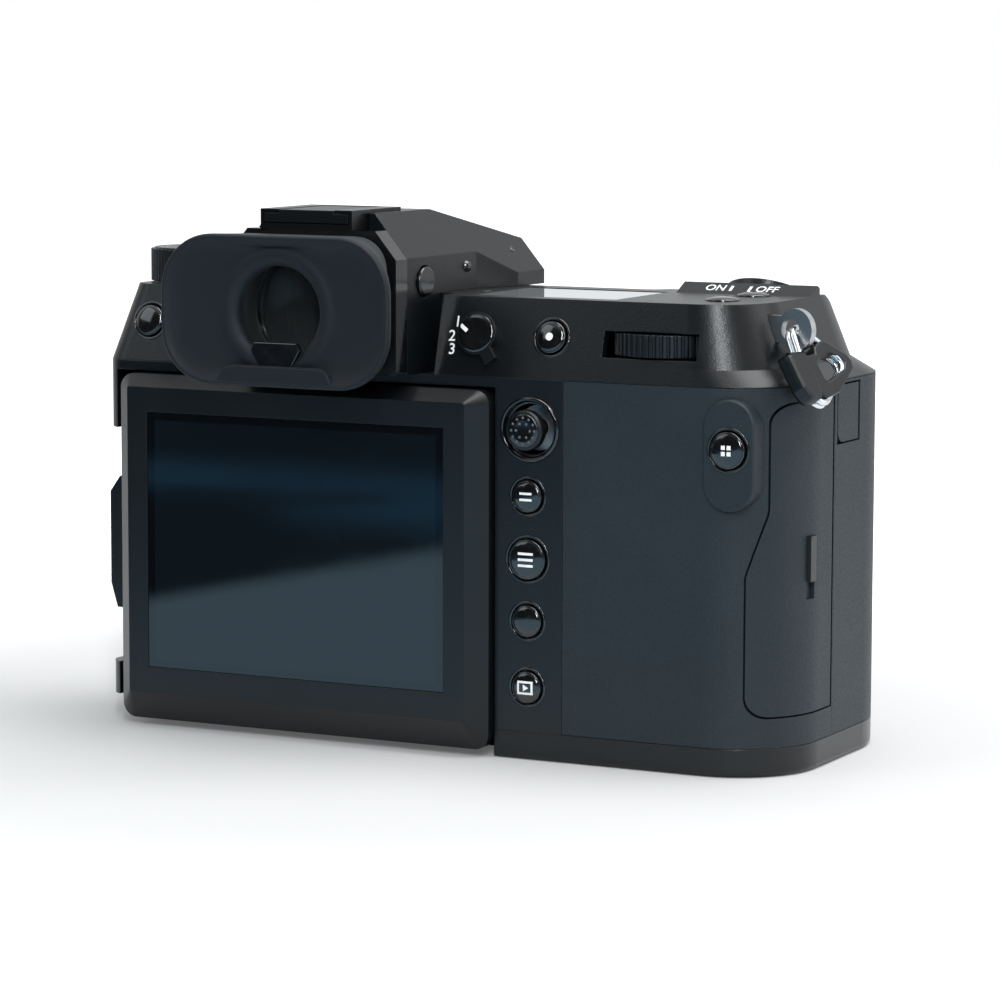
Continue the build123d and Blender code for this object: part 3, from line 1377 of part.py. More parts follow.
arm_reach_y = panel_back_y - 4 * seam
low_arm_points = [(arm_front_y, arm_bottom_z + arm_bar / 2), (arm_front_y, arm_bottom_z),
                  (low_hinge_y - lug_radius / 2, low_hinge_z - 3 * lug_radius / 4),
                  (low_hinge_y, low_hinge_z + lug_radius), (arm_reach_y, low_hinge_z + lug_radius),
                  (arm_reach_y, arm_bottom_z + arm_bar / 2)]
high_arm_points = [(arm_front_y, arm_top_z - arm_bar / 2), (arm_reach_y, arm_top_z - arm_bar / 2),
                   (arm_reach_y, high_hinge_z - lug_radius), (high_hinge_y, high_hinge_z - lug_radius),
                   (high_hinge_y - lug_radius / 2, high_hinge_z + 3 * lug_radius / 4),
                   (arm_front_y, arm_top_z + lug_radius)]
with BuildPart() as lcd_arm:
    add(block((arm_right_x, arm_front_y, arm_bottom_z), (arm_left_x, arm_back_y, arm_top_z)))
    add(block((arm_right_x + arm_bar, arm_front_y - overrun, arm_bottom_z + arm_bar),
              (arm_left_x - arm_bar, arm_back_y + overrun, arm_top_z - arm_bar)), mode=Mode.SUBTRACT)
    for x in arm_lug_places:
        add(side_profile(low_arm_points, x, lug_width))
        add(side_profile(high_arm_points, x, lug_width))
        add(hinge_rod(low_hinge_y, low_hinge_z, lug_radius, x, lug_width))
        add(hinge_rod(high_hinge_y, high_hinge_z, lug_radius, x, lug_width))
        add(hinge_rod(low_hinge_y, low_hinge_z, hinge_pin_radius + slip, x, lug_width + overrun),
            mode=Mode.SUBTRACT)
        add(hinge_rod(high_hinge_y, high_hinge_z, hinge_pin_radius + slip, x, lug_width + overrun),
            mode=Mode.SUBTRACT)
save(lcd_arm, "lcd_arm")


# Outline of the panel on a plane across it, drawn in at the sides, foot and top
def panel_outline(y, corner, side, foot, top):
    low_x, high_x = panel_right_x + side, panel_left_x - side
    low_z, high_z = panel_bottom_z + foot, panel_top_z - top
    with BuildSketch(rear_plane((low_x + high_x) / 2, y, (low_z + high_z) / 2)) as outline:
        RectangleRounded(high_x - low_x, high_z - low_z, corner)
    return outline.sketch


panel_edge_y = panel_face_y - panel_chamfer_run
low_notch_top_z = low_hinge_z + lug_radius + notch_room
high_notch_bottom_z = high_hinge_z - lug_radius - notch_room
with BuildPart() as lcd_panel:
    extrude(panel_outline(panel_back_y, panel_corner, 0, 0, 0), amount=panel_edge_y - panel_back_y)
    add(panel_outline(panel_edge_y, panel_corner, 0, 0, 0))
    add(panel_outline(panel_face_y, panel_face_corner, panel_side_slope, panel_bottom_slope, panel_top_slope))
    loft(ruled=True)
    add(block((glass_right_x - seam, panel_face_y - glass_thickness - glass_sink, glass_bottom_z - seam),
              (glass_left_x + seam, panel_face_y + overrun, glass_top_z + seam)), mode=Mode.SUBTRACT)
    for frame_x, arm_x in zip(frame_lug_places, arm_lug_places):
        low_x = min(frame_x, arm_x) - lug_width / 2 - notch_room
        high_x = max(frame_x, arm_x) + lug_width / 2 + notch_room
        add(block((low_x, panel_back_y - overrun, panel_bottom_z - overrun),
                  (high_x, low_hinge_y + notch_room, low_notch_top_z)), mode=Mode.SUBTRACT)
        add(hinge_rod(low_hinge_y, low_hinge_z, lug_radius + notch_room, (low_x + high_x) / 2, high_x - low_x),
            mode=Mode.SUBTRACT)
    for x in arm_lug_places:
        add(block((x - lug_width / 2 - notch_room, panel_back_y - overrun, high_notch_bottom_z),
                  (x + lug_width / 2 + notch_room, notch_depth_y, panel_top_z + overrun)), mode=Mode.SUBTRACT)
        add(hinge_rod(high_hinge_y, high_hinge_z, hinge_pin_radius, x, lug_width + 4 * notch_room))
save(lcd_panel, "lcd_panel")

with BuildPart() as lcd_glass:
    add(block((glass_right_x, panel_face_y - glass_thickness - glass_sink, glass_bottom_z),
              (glass_left_x, panel_face_y - glass_sink, glass_top_z)))
save(lcd_glass, "lcd_glass")
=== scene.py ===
import json
import math
import bmesh
import bpy
from mathutils import Matrix, Vector
from mathutils.bvhtree import BVHTree


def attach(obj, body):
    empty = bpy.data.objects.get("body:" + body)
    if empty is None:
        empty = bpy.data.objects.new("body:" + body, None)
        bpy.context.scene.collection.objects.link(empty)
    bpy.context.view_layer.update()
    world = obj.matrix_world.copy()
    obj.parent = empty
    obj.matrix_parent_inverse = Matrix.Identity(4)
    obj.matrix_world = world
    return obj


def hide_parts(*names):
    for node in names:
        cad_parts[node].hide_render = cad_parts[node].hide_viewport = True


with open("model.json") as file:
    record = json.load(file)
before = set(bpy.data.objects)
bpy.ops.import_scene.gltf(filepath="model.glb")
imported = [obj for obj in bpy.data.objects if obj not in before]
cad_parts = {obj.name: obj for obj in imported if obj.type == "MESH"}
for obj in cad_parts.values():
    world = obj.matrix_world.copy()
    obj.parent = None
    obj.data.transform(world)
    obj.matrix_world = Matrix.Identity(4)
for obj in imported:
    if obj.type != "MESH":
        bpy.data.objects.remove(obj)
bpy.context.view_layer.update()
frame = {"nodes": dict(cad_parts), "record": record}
print("model loaded,", len(frame["nodes"]), "nodes")

mm = 0.001
collection = bpy.context.scene.collection


# shaders

class Wire:
    # one shader socket, so that sums on it read as plain Python
    def __init__(self, tree, socket):
        self.tree = tree
        self.socket = socket

    def node(self, kind, settings=None, values=None, out=0):
        # a new node: its settings come first, then the values and links of its sockets
        made = self.tree.nodes.new(kind)
        for name, value in (settings or {}).items():
            setattr(made, name, value)
        for name, value in (values or {}).items():
            if isinstance(value, Wire):
                self.tree.links.new(value.socket, made.inputs[name])
            else:
                made.inputs[name].default_value = value
        return Wire(self.tree, made.outputs[out])

    def maths(self, operation, first, second=0.0):
        return self.node("ShaderNodeMath", {"operation": operation}, {0: first, 1: second})

    def __add__(self, other):
        return self.maths("ADD", self, other)

    def __sub__(self, other):
        return self.maths("SUBTRACT", self, other)

    def __rsub__(self, other):
        return self.maths("SUBTRACT", other, self)

    def __mul__(self, other):
        return self.maths("MULTIPLY", self, other)

    def __gt__(self, other):
        return self.maths("GREATER_THAN", self, other)

    def __lt__(self, other):
        return self.maths("LESS_THAN", self, other)

    __radd__ = __add__
    __rmul__ = __mul__


def newShader(name):
    # a material with nothing in it but its output
    material = bpy.data.materials.new(name)
    material.use_nodes = True
    tree = material.node_tree
    tree.nodes.clear()
    return material, tree.nodes.new("ShaderNodeOutputMaterial")


def startOf(output):
    # Object coordinates, which stay on a piece as it moves
    made = output.id_data.nodes.new("ShaderNodeTexCoord")
    return Wire(output.id_data, made.outputs["Object"])


def along(place, axis):
    # how far a place lies along X, Y or Z, numbered 0, 1 and 2
    return place.node("ShaderNodeSeparateXYZ", None, {"Vector": place}, axis)


def noise(place, scale, detail=2.0, roughness=0.5):
    # plain noise, which the looks give as its scale, detail and roughness
    return place.node("ShaderNodeTexNoise", None, {
        "Vector": place, "Scale": scale, "Detail": detail, "Roughness": roughness})


mixSockets = {"first": 6, "second": 7, "mixed": 2}  # where a Mix node has its colours


def blendTones(share, first, second):
    # from the first colour to the second as share goes from 0 to 1
    values = {"Factor": share, mixSockets["first"]: first, mixSockets["second"]: second}
    return share.node("ShaderNodeMix", {"data_type": "RGBA"}, values, mixSockets["mixed"])


def rgba(tone, times=1.0):
    # a colour for a socket, made lighter or darker by times
    return tuple(part * times for part in tone) + (1.0,)


def between(wire, low, high):
    # 0 below low, 1 above high, and smooth between them
    return wire.node("ShaderNodeMapRange", {"interpolation_type": "SMOOTHSTEP"},
                     {"Value": wire, "From Min": low, "From Max": high})


def patches(place, pattern):
    # soft patches, by the scale, detail and roughness of a noise and where they start and are full
    scale, detail, roughness, low, high = pattern
    return between(noise(place, scale, detail, roughness), low, high)


def close(output, shader):
    # the finished shader goes to the material's output
    output.id_data.links.new(shader.socket, output.inputs["Surface"])


paintLook = {
    "tone": (0.0027, 0.0037, 0.0047),
    "worn": (0.0075, 0.0092, 0.0108),
    "wear": 0.4,  # how far the rubbed places go towards the worn tone
    "rubbed": (240.0, 4.0, 0.65, 0.6, 0.78),
    "clouds": (60.0, 3.0),
    "roughness": 0.24,
    "cloudRoughness": 0.06,
    "grainRoughness": 0.08,
    "specular": 0.38,
    "grainScale": 3900.0,
    "grainDetail": (2.0, 0.6),
    "grainDepth": 0.034 * mm,
    "fleckScale": 0.55,  # times the grain's scale
    "fleckHeight": 0.8,
    "bump": 0.6,
    "edge": 0.3 * mm,
    "edgeSamples": 4,
}


def paintFinish(name, look):
    # sprayed satin paint: a fine sparkling grain, a few rubbed places
    material, output = newShader(name)
    place = startOf(output)
    grain = noise(place, look["grainScale"], *look["grainDetail"])
    flecks = noise(place, look["grainScale"] * look["fleckScale"], 1.0)
    clouds = noise(place, *look["clouds"])
    rubbed = patches(place, look["rubbed"])
    tone = blendTones(rubbed * look["wear"], rgba(look["tone"]), rgba(look["worn"]))
    rounded = place.node("ShaderNodeBevel", {"samples": look["edgeSamples"]}, {
        "Radius": look["edge"]})
    bump = place.node("ShaderNodeBump", None, {
        "Strength": look["bump"], "Distance": look["grainDepth"],
        "Height": grain + flecks * look["fleckHeight"], "Normal": rounded})
    rough = look["roughness"] + clouds * look["cloudRoughness"] + grain * look["grainRoughness"]
    shader = place.node("ShaderNodeBsdfPrincipled", None, {
        "Base Color": tone, "Normal": bump, "Roughness": rough,
        "Specular IOR Level": look["specular"]})
    close(output, shader)
    return material


rubberLook = {
    "tone": (0.0068, 0.0122, 0.0165),
    "raised": (0.0108, 0.0178, 0.0230),
    "pebbleShare": 0.6,  # shares of the pebbles and the clouds in the raised tone
    "cloudShare": 0.4,
    "clouds": (55.0, 4.0, 0.6, 0.35, 0.75),
    "roughness": 0.50,
    "pebbleSmoothing": 0.1,
    "fineRoughness": 0.12,
    "specular": 0.35,
    "pebbleScale": 2300.0,
    "pebbleSoftness": 0.35,
    "pebbleFall": 1.2,
    "pebbleTops": (0.35, 0.8),
    "pebbleDepth": 0.045 * mm,
    "driftScale": 900.0,  # the drift makes the pebbles uneven
    "drift": 0.5 * mm,
    "fine": (6200.0, 2.0),
    "fineHeight": 0.3,
    "bump": 0.7,
}


def leatherFinish(name, look):
    # moulded rubber with a leathery skin of small uneven pebbles
    material, output = newShader(name)
    place = startOf(output)
    push = place.node("ShaderNodeTexNoise", None, {"Vector": place, "Scale": look["driftScale"]}, 1)
    drifted = place.node("ShaderNodeVectorMath", {"operation": "MULTIPLY_ADD"}, {
        0: push, 1: (look["drift"],) * 3, 2: place})
    pebbles = place.node("ShaderNodeTexVoronoi", {"feature": "SMOOTH_F1"}, {
        "Vector": drifted, "Scale": look["pebbleScale"], "Smoothness": look["pebbleSoftness"]})
    height = 1 - pebbles * look["pebbleFall"]
    fine = noise(place, *look["fine"])
    clouds = patches(place, look["clouds"])
    top = between(height, *look["pebbleTops"])
    share = top * look["pebbleShare"] + clouds * look["cloudShare"]
    bump = place.node("ShaderNodeBump", None, {
        "Strength": look["bump"], "Distance": look["pebbleDepth"],
        "Height": height + fine * look["fineHeight"]})
    rough = look["roughness"] - top * look["pebbleSmoothing"] + fine * look["fineRoughness"]
    shader = place.node("ShaderNodeBsdfPrincipled", None, {
        "Base Color": blendTones(share, rgba(look["tone"]), rgba(look["raised"])),
        "Normal": bump, "Roughness": rough, "Specular IOR Level": look["specular"]})
    close(output, shader)
    return material


softLook = {
    "tone": (0.0045, 0.0066, 0.0095),
    "dusty": (0.0095, 0.0125, 0.0160),
    "dust": (130.0, 5.0, 0.7, 0.5, 0.8),
    "dustShare": 0.6,
    "dustRoughness": 0.15,
    "roughness": 0.58,
    "sheen": 0.03,
    "sheenRoughness": 0.5,
    "specular": 0.25,
    "fine": (3800.0, 3.0, 0.6),
    "fineDepth": 0.02 * mm,
    "bump": 0.5,
}


def softFinish(name, look):
    # silky eyecup rubber, a little dusty where it is handled
    material, output = newShader(name)
    place = startOf(output)
    dust = patches(place, look["dust"])
    bump = place.node("ShaderNodeBump", None, {
        "Strength": look["bump"], "Distance": look["fineDepth"],
        "Height": noise(place, *look["fine"])})
    shader = place.node("ShaderNodeBsdfPrincipled", None, {
        "Base Color": blendTones(dust * look["dustShare"], rgba(look["tone"]), rgba(look["dusty"])),
        "Normal": bump, "Roughness": look["roughness"] + dust * look["dustRoughness"],
        "Sheen Weight": look["sheen"], "Sheen Roughness": look["sheenRoughness"],
        "Specular IOR Level": look["specular"]})
    close(output, shader)
    return material


mouldLook = dict(
    paintLook, tone=(0.0026, 0.0036, 0.0045), worn=(0.0065, 0.0080, 0.0094), roughness=0.29,
    grainScale=3600.0, grainDepth=0.012 * mm, edge=0.25 * mm)
batteryLook = dict(mouldLook, tone=(0.03, 0.03, 0.033))


glossLook = {
    "tone": (0.0028, 0.0030, 0.0034),
    "smear": (420.0, 4.0, 0.7, 0.45, 0.75),
    "smearTone": 1.9,  # times the tone
    "smearRoughness": 0.12,
    "roughness": 0.12,
    "specks": (5200.0, 1.0),
    "speckDepth": 0.004 * mm,
    "bump": 0.2,
    "coat": 0.5,
    "coatRoughness": 0.06,
}


def glossFinish(name, look):
    # polished black moulding with faint finger marks
    material, output = newShader(name)
    place = startOf(output)
    smear = patches(place, look["smear"])
    bump = place.node("ShaderNodeBump", None, {
        "Strength": look["bump"], "Distance": look["speckDepth"],
        "Height": noise(place, *look["specks"])})
    tone = blendTones(smear, rgba(look["tone"]), rgba(look["tone"], look["smearTone"]))
    shader = place.node("ShaderNodeBsdfPrincipled", None, {
        "Base Color": tone, "Normal": bump,
        "Roughness": look["roughness"] + smear * look["smearRoughness"],
        "Coat Weight": look["coat"], "Coat Roughness": look["coatRoughness"]})
    close(output, shader)
    return material


metalLook = {
    "stretch": (1.0, 14.0, 14.0),  # the brushing runs along X
    "lines": (900.0, 3.0, 0.6),
    "lineDepth": 0.004 * mm,
    "lineRoughness": 0.08,
    "bump": 0.3,
    "spots": (300.0, 3.0, 0.6, 0.55, 0.8),
    "spotTone": 0.72,  # times the metal's tone
    "spotRoughness": 0.1,
}


def metalFinish(name, look, tone, roughness, brushed=0.0):
    # plated or turned metal, with fine brushing and darker handled spots
    material, output = newShader(name)
    place = startOf(output)
    drawnOut = place.node("ShaderNodeMapping", None, {"Vector": place, "Scale": look["stretch"]})
    lines = noise(drawnOut, *look["lines"])
    spots = patches(place, look["spots"])
    bump = place.node("ShaderNodeBump", None, {
        "Strength": look["bump"] + brushed, "Distance": look["lineDepth"], "Height": lines})
    shader = place.node("ShaderNodeBsdfPrincipled", None, {
        "Base Color": blendTones(spots, rgba(tone), rgba(tone, look["spotTone"])),
        "Metallic": 1.0, "Normal": bump,
        "Roughness": roughness + lines * look["lineRoughness"] + spots * look["spotRoughness"]})
    close(output, shader)
    return material


windowLook = {
    "clear": (0.20, 0.23, 0.24),
    "dim": (0.12, 0.14, 0.16),
    "smear": (90.0, 4.0, 0.6, 0.45, 0.8),
    "smearRoughness": 0.04,
    "roughness": 0.01,
    "transmission": 0.9,
    "ior": 1.5,
}


def windowFinish(name, look):
    # tinted glass with a faint smear of finger marks
    material, output = newShader(name)
    smear = patches(startOf(output), look["smear"])
    shader = smear.node("ShaderNodeBsdfPrincipled", None, {
        "Base Color": blendTones(smear, rgba(look["clear"]), rgba(look["dim"])),
        "Roughness": smear * look["smearRoughness"] + look["roughness"],
        "Transmission Weight": look["transmission"], "IOR": look["ior"]})
    close(output, shader)
    return material


displayLook = {
    "left": -25.4 * mm, "right": 37.6 * mm,  # the lit area behind the cover glass
    "low": 14.2 * mm, "high": 62.2 * mm,
    "border": (0.0012, 0.0012, 0.0014),
    "area": (0.0026, 0.0046, 0.0068),
    "smear": (70.0, 5.0, 0.65, 0.4, 0.8),
    "smearRoughness": 0.05,
    "dots": (7000.0, 1.0),
    "dotRoughness": 0.01,
    "roughness": 0.03,
    "ior": 1.55,
}


def displayFinish(name, look):
    # cover glass: a black printed border round a blue-grey dark display
    material, output = newShader(name)
    place = startOf(output)
    x, z = along(place, 0), along(place, 2)
    across = (x > look["left"]) * (x < look["right"])
    inside = across * ((z > look["low"]) * (z < look["high"]))
    smear = patches(place, look["smear"])
    dots = noise(place, *look["dots"])
    rough = smear * look["smearRoughness"] + dots * look["dotRoughness"] + look["roughness"]
    shader = place.node("ShaderNodeBsdfPrincipled", None, {
        "Base Color": blendTones(inside, rgba(look["border"]), rgba(look["area"])),
        "Roughness": rough, "IOR": look["ior"]})
    close(output, shader)
    return material


monitorLook = {
    "tone": (0.36, 0.40, 0.41),
    "pale": (0.42, 0.46, 0.47),
    "fine": (6000.0, 1.0),
    "smear": (110.0, 4.0, 0.6, 0.45, 0.8),
    "smearRoughness": 0.06,
    "roughness": 0.04,
    "ior": 1.6,
    "coat": 1.0,
    "coatRoughness": 0.03,
}


def monitorFinish(name, look):
    # the status window on the deck: a pale reflective display under glass
    material, output = newShader(name)
    place = startOf(output)
    smear = patches(place, look["smear"])
    fine = noise(place, *look["fine"])
    shader = place.node("ShaderNodeBsdfPrincipled", None, {
        "Base Color": blendTones(fine, rgba(look["tone"]), rgba(look["pale"])),
        "Roughness": smear * look["smearRoughness"] + look["roughness"], "IOR": look["ior"],
        "Coat Weight": look["coat"], "Coat Roughness": look["coatRoughness"]})
    close(output, shader)
    return material


boardLook = {
    "dark": (0.010, 0.05, 0.024),
    "light": (0.014, 0.07, 0.032),
    "tracks": (0.03, 0.12, 0.05),
    "trackScale": 900.0,
    "trackWidth": 0.03,
    "fine": (3000.0, 2.0),
    "fineDepth": 0.02 * mm,
    "fineRoughness": 0.15,
    "roughness": 0.3,
    "bump": 0.4,
}


def boardFinish(name, look):
    # lacquered circuit board with faint tracks
    material, output = newShader(name)
    place = startOf(output)
    tracks = place.node("ShaderNodeTexBrick", None, {
        "Vector": place, "Scale": look["trackScale"], "Color1": rgba(look["dark"]),
        "Color2": rgba(look["light"]), "Mortar": rgba(look["tracks"]),
        "Mortar Size": look["trackWidth"]})
    fine = noise(place, *look["fine"])
    bump = place.node("ShaderNodeBump", None, {
        "Strength": look["bump"], "Distance": look["fineDepth"], "Height": fine})
    shader = place.node("ShaderNodeBsdfPrincipled", None, {
        "Base Color": tracks, "Normal": bump,
        "Roughness": fine * look["fineRoughness"] + look["roughness"]})
    close(output, shader)
    return material


inkLook = {
    "unevenness": (4000.0, 3.0),
    "thinTone": 0.82,  # times the ink's tone
    "thinRoughness": 0.2,
    "roughness": 0.4,
}


def markFinish(name, look, tone):
    # printed enamel marks, slightly uneven in the ink
    material, output = newShader(name)
    ink = noise(startOf(output), *look["unevenness"])
    shader = ink.node("ShaderNodeBsdfPrincipled", None, {
        "Base Color": blendTones(ink, rgba(tone), rgba(tone, look["thinTone"])),
        "Roughness": ink * look["thinRoughness"] + look["roughness"]})
    close(output, shader)
    return material


finishes = {
    "paint": paintFinish("satinPaint", paintLook),
    "leather": leatherFinish("leatheryRubber", rubberLook),
    "soft": softFinish("eyecupRubber", softLook),
    "mould": paintFinish("matteMoulding", mouldLook),
    "gloss": glossFinish("glossMoulding", glossLook),
    "window": windowFinish("eyepieceGlass", windowLook),
    "display": displayFinish("displayGlass", displayLook),
    "monitor": monitorFinish("statusWindow", monitorLook),
    "steel": metalFinish("brushedSteel", metalLook, (0.42, 0.43, 0.44), 0.30, 0.3),
    "blackSteel": metalFinish("blackenedSteel", metalLook, (0.045, 0.048, 0.052), 0.28, 0.2),
    "bright": metalFinish("polishedSteel", metalLook, (0.66, 0.67, 0.69), 0.16),
    "alloy": metalFinish("castAlloy", metalLook, (0.40, 0.41, 0.42), 0.42),
    "gold": metalFinish("goldPlating", metalLook, (0.75, 0.55, 0.26), 0.2),
    "board": boardFinish("circuitBoard", boardLook),
    "battery": paintFinish("batteryCase", batteryLook),
    "white": markFinish("whiteInk", inkLook, (0.80, 0.80, 0.78)),
    "grey": markFinish("greyInk", inkLook, (0.07, 0.075, 0.08)),
}

# the record's material slots, and the nodes with a finish of their own
bySlot = {
    "black_paint": "paint", "dark_rubber": "leather", "eyecup_rubber": "soft",
    "matte_black": "mould", "gloss_black": "gloss", "window": "window",
    "display_glass": "display", "steel": "steel", "bright_steel": "bright", "alloy": "alloy",
    "gold": "gold", "board": "board", "battery_case": "battery",
}
byNode = {"top_monitor": "monitor", "hot_shoe": "blackSteel"}

for part in frame["record"]["subparts"]:
    key = byNode.get(part["node"], bySlot[part["material_slot"]])
    node = frame["nodes"][part["node"]]
    if not node.material_slots:
        node.data.materials.append(finishes[key])
    for slot in node.material_slots:
        slot.material = finishes[key]
print("finishes made,", len(finishes))


# tools for the pieces

def newPiece(name, mesh, body, finish):
    # a finished piece: its object at the origin, riding on a body
    piece = bpy.data.objects.new(name, mesh)
    collection.objects.link(piece)
    mesh.materials.clear()
    mesh.materials.append(finishes[finish])
    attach(piece, body)
    return piece


def meshFrom(shape, name, smooth=True):
    # a mesh from a bmesh, with its faces pointing outwards
    bmesh.ops.recalc_face_normals(shape, faces=shape.faces)
    for face in shape.faces:
        face.smooth = smooth
    mesh = bpy.data.meshes.new(name)
    shape.to_mesh(mesh)
    shape.free()
    return mesh


def roundedLoop(count, halfWidth, halfHeight, corner):
    # points round a rounded rectangle, evenly spaced, from the middle of its right side
    straightAcross = 2 * (halfWidth - corner)
    straightUp = 2 * (halfHeight - corner)
    arc = corner * math.pi / 2
    runs = [("line", straightUp / 2), ("arc", arc), ("line", straightAcross), ("arc", arc),
            ("line", straightUp), ("arc", arc), ("line", straightAcross), ("arc", arc),
            ("line", straightUp / 2)]
    whole = sum(length for kind, length in runs)
    points = []
    for step in range(count):
        left = whole * step / count
        x, z, turn = halfWidth, 0.0, math.pi / 2
        for kind, length in runs:
            part = min(left, length)
            if kind == "line":
                x += math.cos(turn) * part
                z += math.sin(turn) * part
            elif part > 0:
                centreX = x - math.sin(turn) * corner
                centreZ = z + math.cos(turn) * corner
                turn += part / corner
                x = centreX + math.sin(turn) * corner
                z = centreZ - math.cos(turn) * corner
            left -= part
            if left <= 0:
                break
        points.append((x, z))
    return points


def loft(loops):
    # a skin through loops of equal count, each a list of points in mm
    # it closes on itself where the last loop is the first
    count = len(loops[0])
    shape = bmesh.new()
    made = bmesh.ops.create_circle(shape, segments=count, radius=mm)
    ring = made["verts"]
    for vert, point in zip(ring, loops[0]):
        vert.co = Vector(point) * mm
    for loop in loops[1:]:
        edges = [edge for edge in shape.edges if all(vert in ring for vert in edge.verts)]
        order = {vert: number for number, vert in enumerate(ring)}
        grown = bmesh.ops.extrude_edge_only(shape, edges=edges)
        fresh = [item for item in grown["geom"] if isinstance(item, bmesh.types.BMVert)]
        numbered = {}
        for vert in fresh:
            for edge in vert.link_edges:
                other = edge.other_vert(vert)
                if other in order:
                    numbered[order[other]] = vert
        ring = [numbered[number] for number in range(count)]
        for vert, point in zip(ring, loop):
            vert.co = Vector(point) * mm
    return shape


printing = {
    "lift": 0.03 * mm,
    "reach": 3 * mm,  # how far off a surface a mark looks for it
    "thicken": 0.012,  # of the lettering's size
    "curveSteps": 4,
}
treeOf = {}


def surfaceOf(node):
    # the surface of a node or piece, to lay marks on
    if node not in treeOf:
        source = (frame["nodes"].get(node) or bpy.data.objects[node]).data
        treeOf[node] = BVHTree.FromPolygons([vert.co for vert in source.vertices],
                                            [tuple(poly.vertices) for poly in source.polygons])
    return treeOf[node]


def layMark(shape, node, centre, across, up):
    # takes a flat mark, drawn in mm, to a place on a node and lays it on the surface there
    across = Vector(across).normalized()
    up = Vector(up)
    up = (up - across * up.dot(across)).normalized()
    out = across.cross(up)
    surface = surfaceOf(node)
    bmesh.ops.subdivide_edges(shape, edges=shape.edges, cuts=1, use_grid_fill=True)
    for vert in shape.verts:
        drawn = (Vector(centre) + across * vert.co.x + up * vert.co.y) * mm
        hit = surface.ray_cast(drawn + out * printing["reach"], -out)[0]
        vert.co = (drawn if hit is None else hit) + out * printing["lift"]
    return shape


def joined(shapes, name, smooth=False):
    # one mesh from several bmeshes
    whole = bmesh.new()
    for shape in shapes:
        mesh = bpy.data.meshes.new("loose")
        shape.to_mesh(mesh)
        shape.free()
        whole.from_mesh(mesh)
        bpy.data.meshes.remove(mesh)
    for face in whole.faces:
        face.smooth = smooth
    mesh = bpy.data.meshes.new(name)
    whole.to_mesh(mesh)
    whole.free()
    return mesh


def letters(text, size):
    # flat lettering in mm, centred, as a bmesh
    curve = bpy.data.curves.new("letters", "FONT")
    curve.body = text
    curve.size = size
    curve.align_x = "CENTER"
    curve.align_y = "CENTER"
    curve.offset = size * printing["thicken"]
    curve.resolution_u = printing["curveSteps"]
    holder = bpy.data.objects.new("letters", curve)
    mesh = bpy.data.meshes.new_from_object(holder)
    shape = bmesh.new()
    shape.from_mesh(mesh)
    bpy.data.objects.remove(holder)
    bpy.data.curves.remove(curve)
    bpy.data.meshes.remove(mesh)
    return shape


def bar(width, height, x=0.0, y=0.0, lean=0.0):
    # a flat bar in mm
    shape = bmesh.new()
    bmesh.ops.create_grid(shape, x_segments=3, y_segments=3, size=0.5)
    turn = Matrix.Rotation(lean, 4, "Z")
    place = Matrix.Translation((x, y, 0)) @ turn @ Matrix.Diagonal((width, height, 1, 1))
    bmesh.ops.transform(shape, matrix=place, verts=shape.verts)
    return shape


def spot(radius):
    # a flat round spot in mm
    shape = bmesh.new()
    bmesh.ops.create_circle(shape, cap_ends=True, segments=24, radius=radius)
    return shape


shaping = {
    "weld": 0.0001,  # points of a turned shape nearer than this, in mm, become one
    "sharp": 0.35,  # edges of a plate that turn by more than this are rounded
    "rounds": 2,
}


def atPlace(shape, place, turn):
    # turns a shape drawn in mm, and puts it at its place
    whole = Matrix.Translation(Vector(place) * mm) @ turn.to_4x4() @ Matrix.Scale(mm, 4)
    bmesh.ops.transform(shape, matrix=whole, verts=shape.verts)
    return shape


def lathe(profile, place, axis, steps=48):
    # a turned shape: radii and heights in mm along its profile, about an axis out of a place
    shape = bmesh.new()
    points = [shape.verts.new((radius, 0, height)) for radius, height in profile]
    edges = [shape.edges.new(pair) for pair in zip(points, points[1:])]
    bmesh.ops.spin(shape, geom=points + edges, axis=(0, 0, 1), cent=(0, 0, 0),
                   angle=2 * math.pi, steps=steps, use_merge=True)
    bmesh.ops.remove_doubles(shape, verts=shape.verts, dist=shaping["weld"])
    return atPlace(shape, place, Vector(axis).to_track_quat("Z", "Y").to_matrix())


def plate(outline, thickness, place, across, up, edge, hole=None):
    # a flat plate with rounded edges
    # its outline and hole are drawn in mm, across and up from a place
    shape = bmesh.new()
    for loop in filter(None, (outline, hole)):
        ring = [shape.verts.new((x, y, 0)) for x, y in loop]
        for pair in zip(ring, ring[1:] + ring[:1]):
            shape.edges.new(pair)
    bmesh.ops.triangle_fill(shape, use_beauty=True, use_dissolve=False, edges=shape.edges)
    grown = bmesh.ops.extrude_face_region(shape, geom=shape.faces[:])
    fresh = [item for item in grown["geom"] if isinstance(item, bmesh.types.BMVert)]
    bmesh.ops.translate(shape, vec=(0, 0, thickness), verts=fresh)
    bmesh.ops.recalc_face_normals(shape, faces=shape.faces)
    sharp = [item for item in shape.edges if item.calc_face_angle(0.0) > shaping["sharp"]]
    bmesh.ops.bevel(shape, geom=sharp, offset=edge, segments=shaping["rounds"], affect="EDGES",
                    profile=0.5, material=-1)
    across = Vector(across).normalized()
    out = across.cross(Vector(up)).normalized()
    return atPlace(shape, place, Matrix((across, out.cross(across), out)).transposed())


# directions, as someone behind the camera sees them

rightward = (-1, 0, 0)
upward = (0, 0, 1)
rearward = (0, 1, 0)
wallOut = (0, 0.968, 0.250)  # the top cover's rear wall leans forward
wallUp = (0, -0.250, 0.968)
ridgeUp = (0, -0.903, 0.429)  # up the words beside the power lever


# eyecup

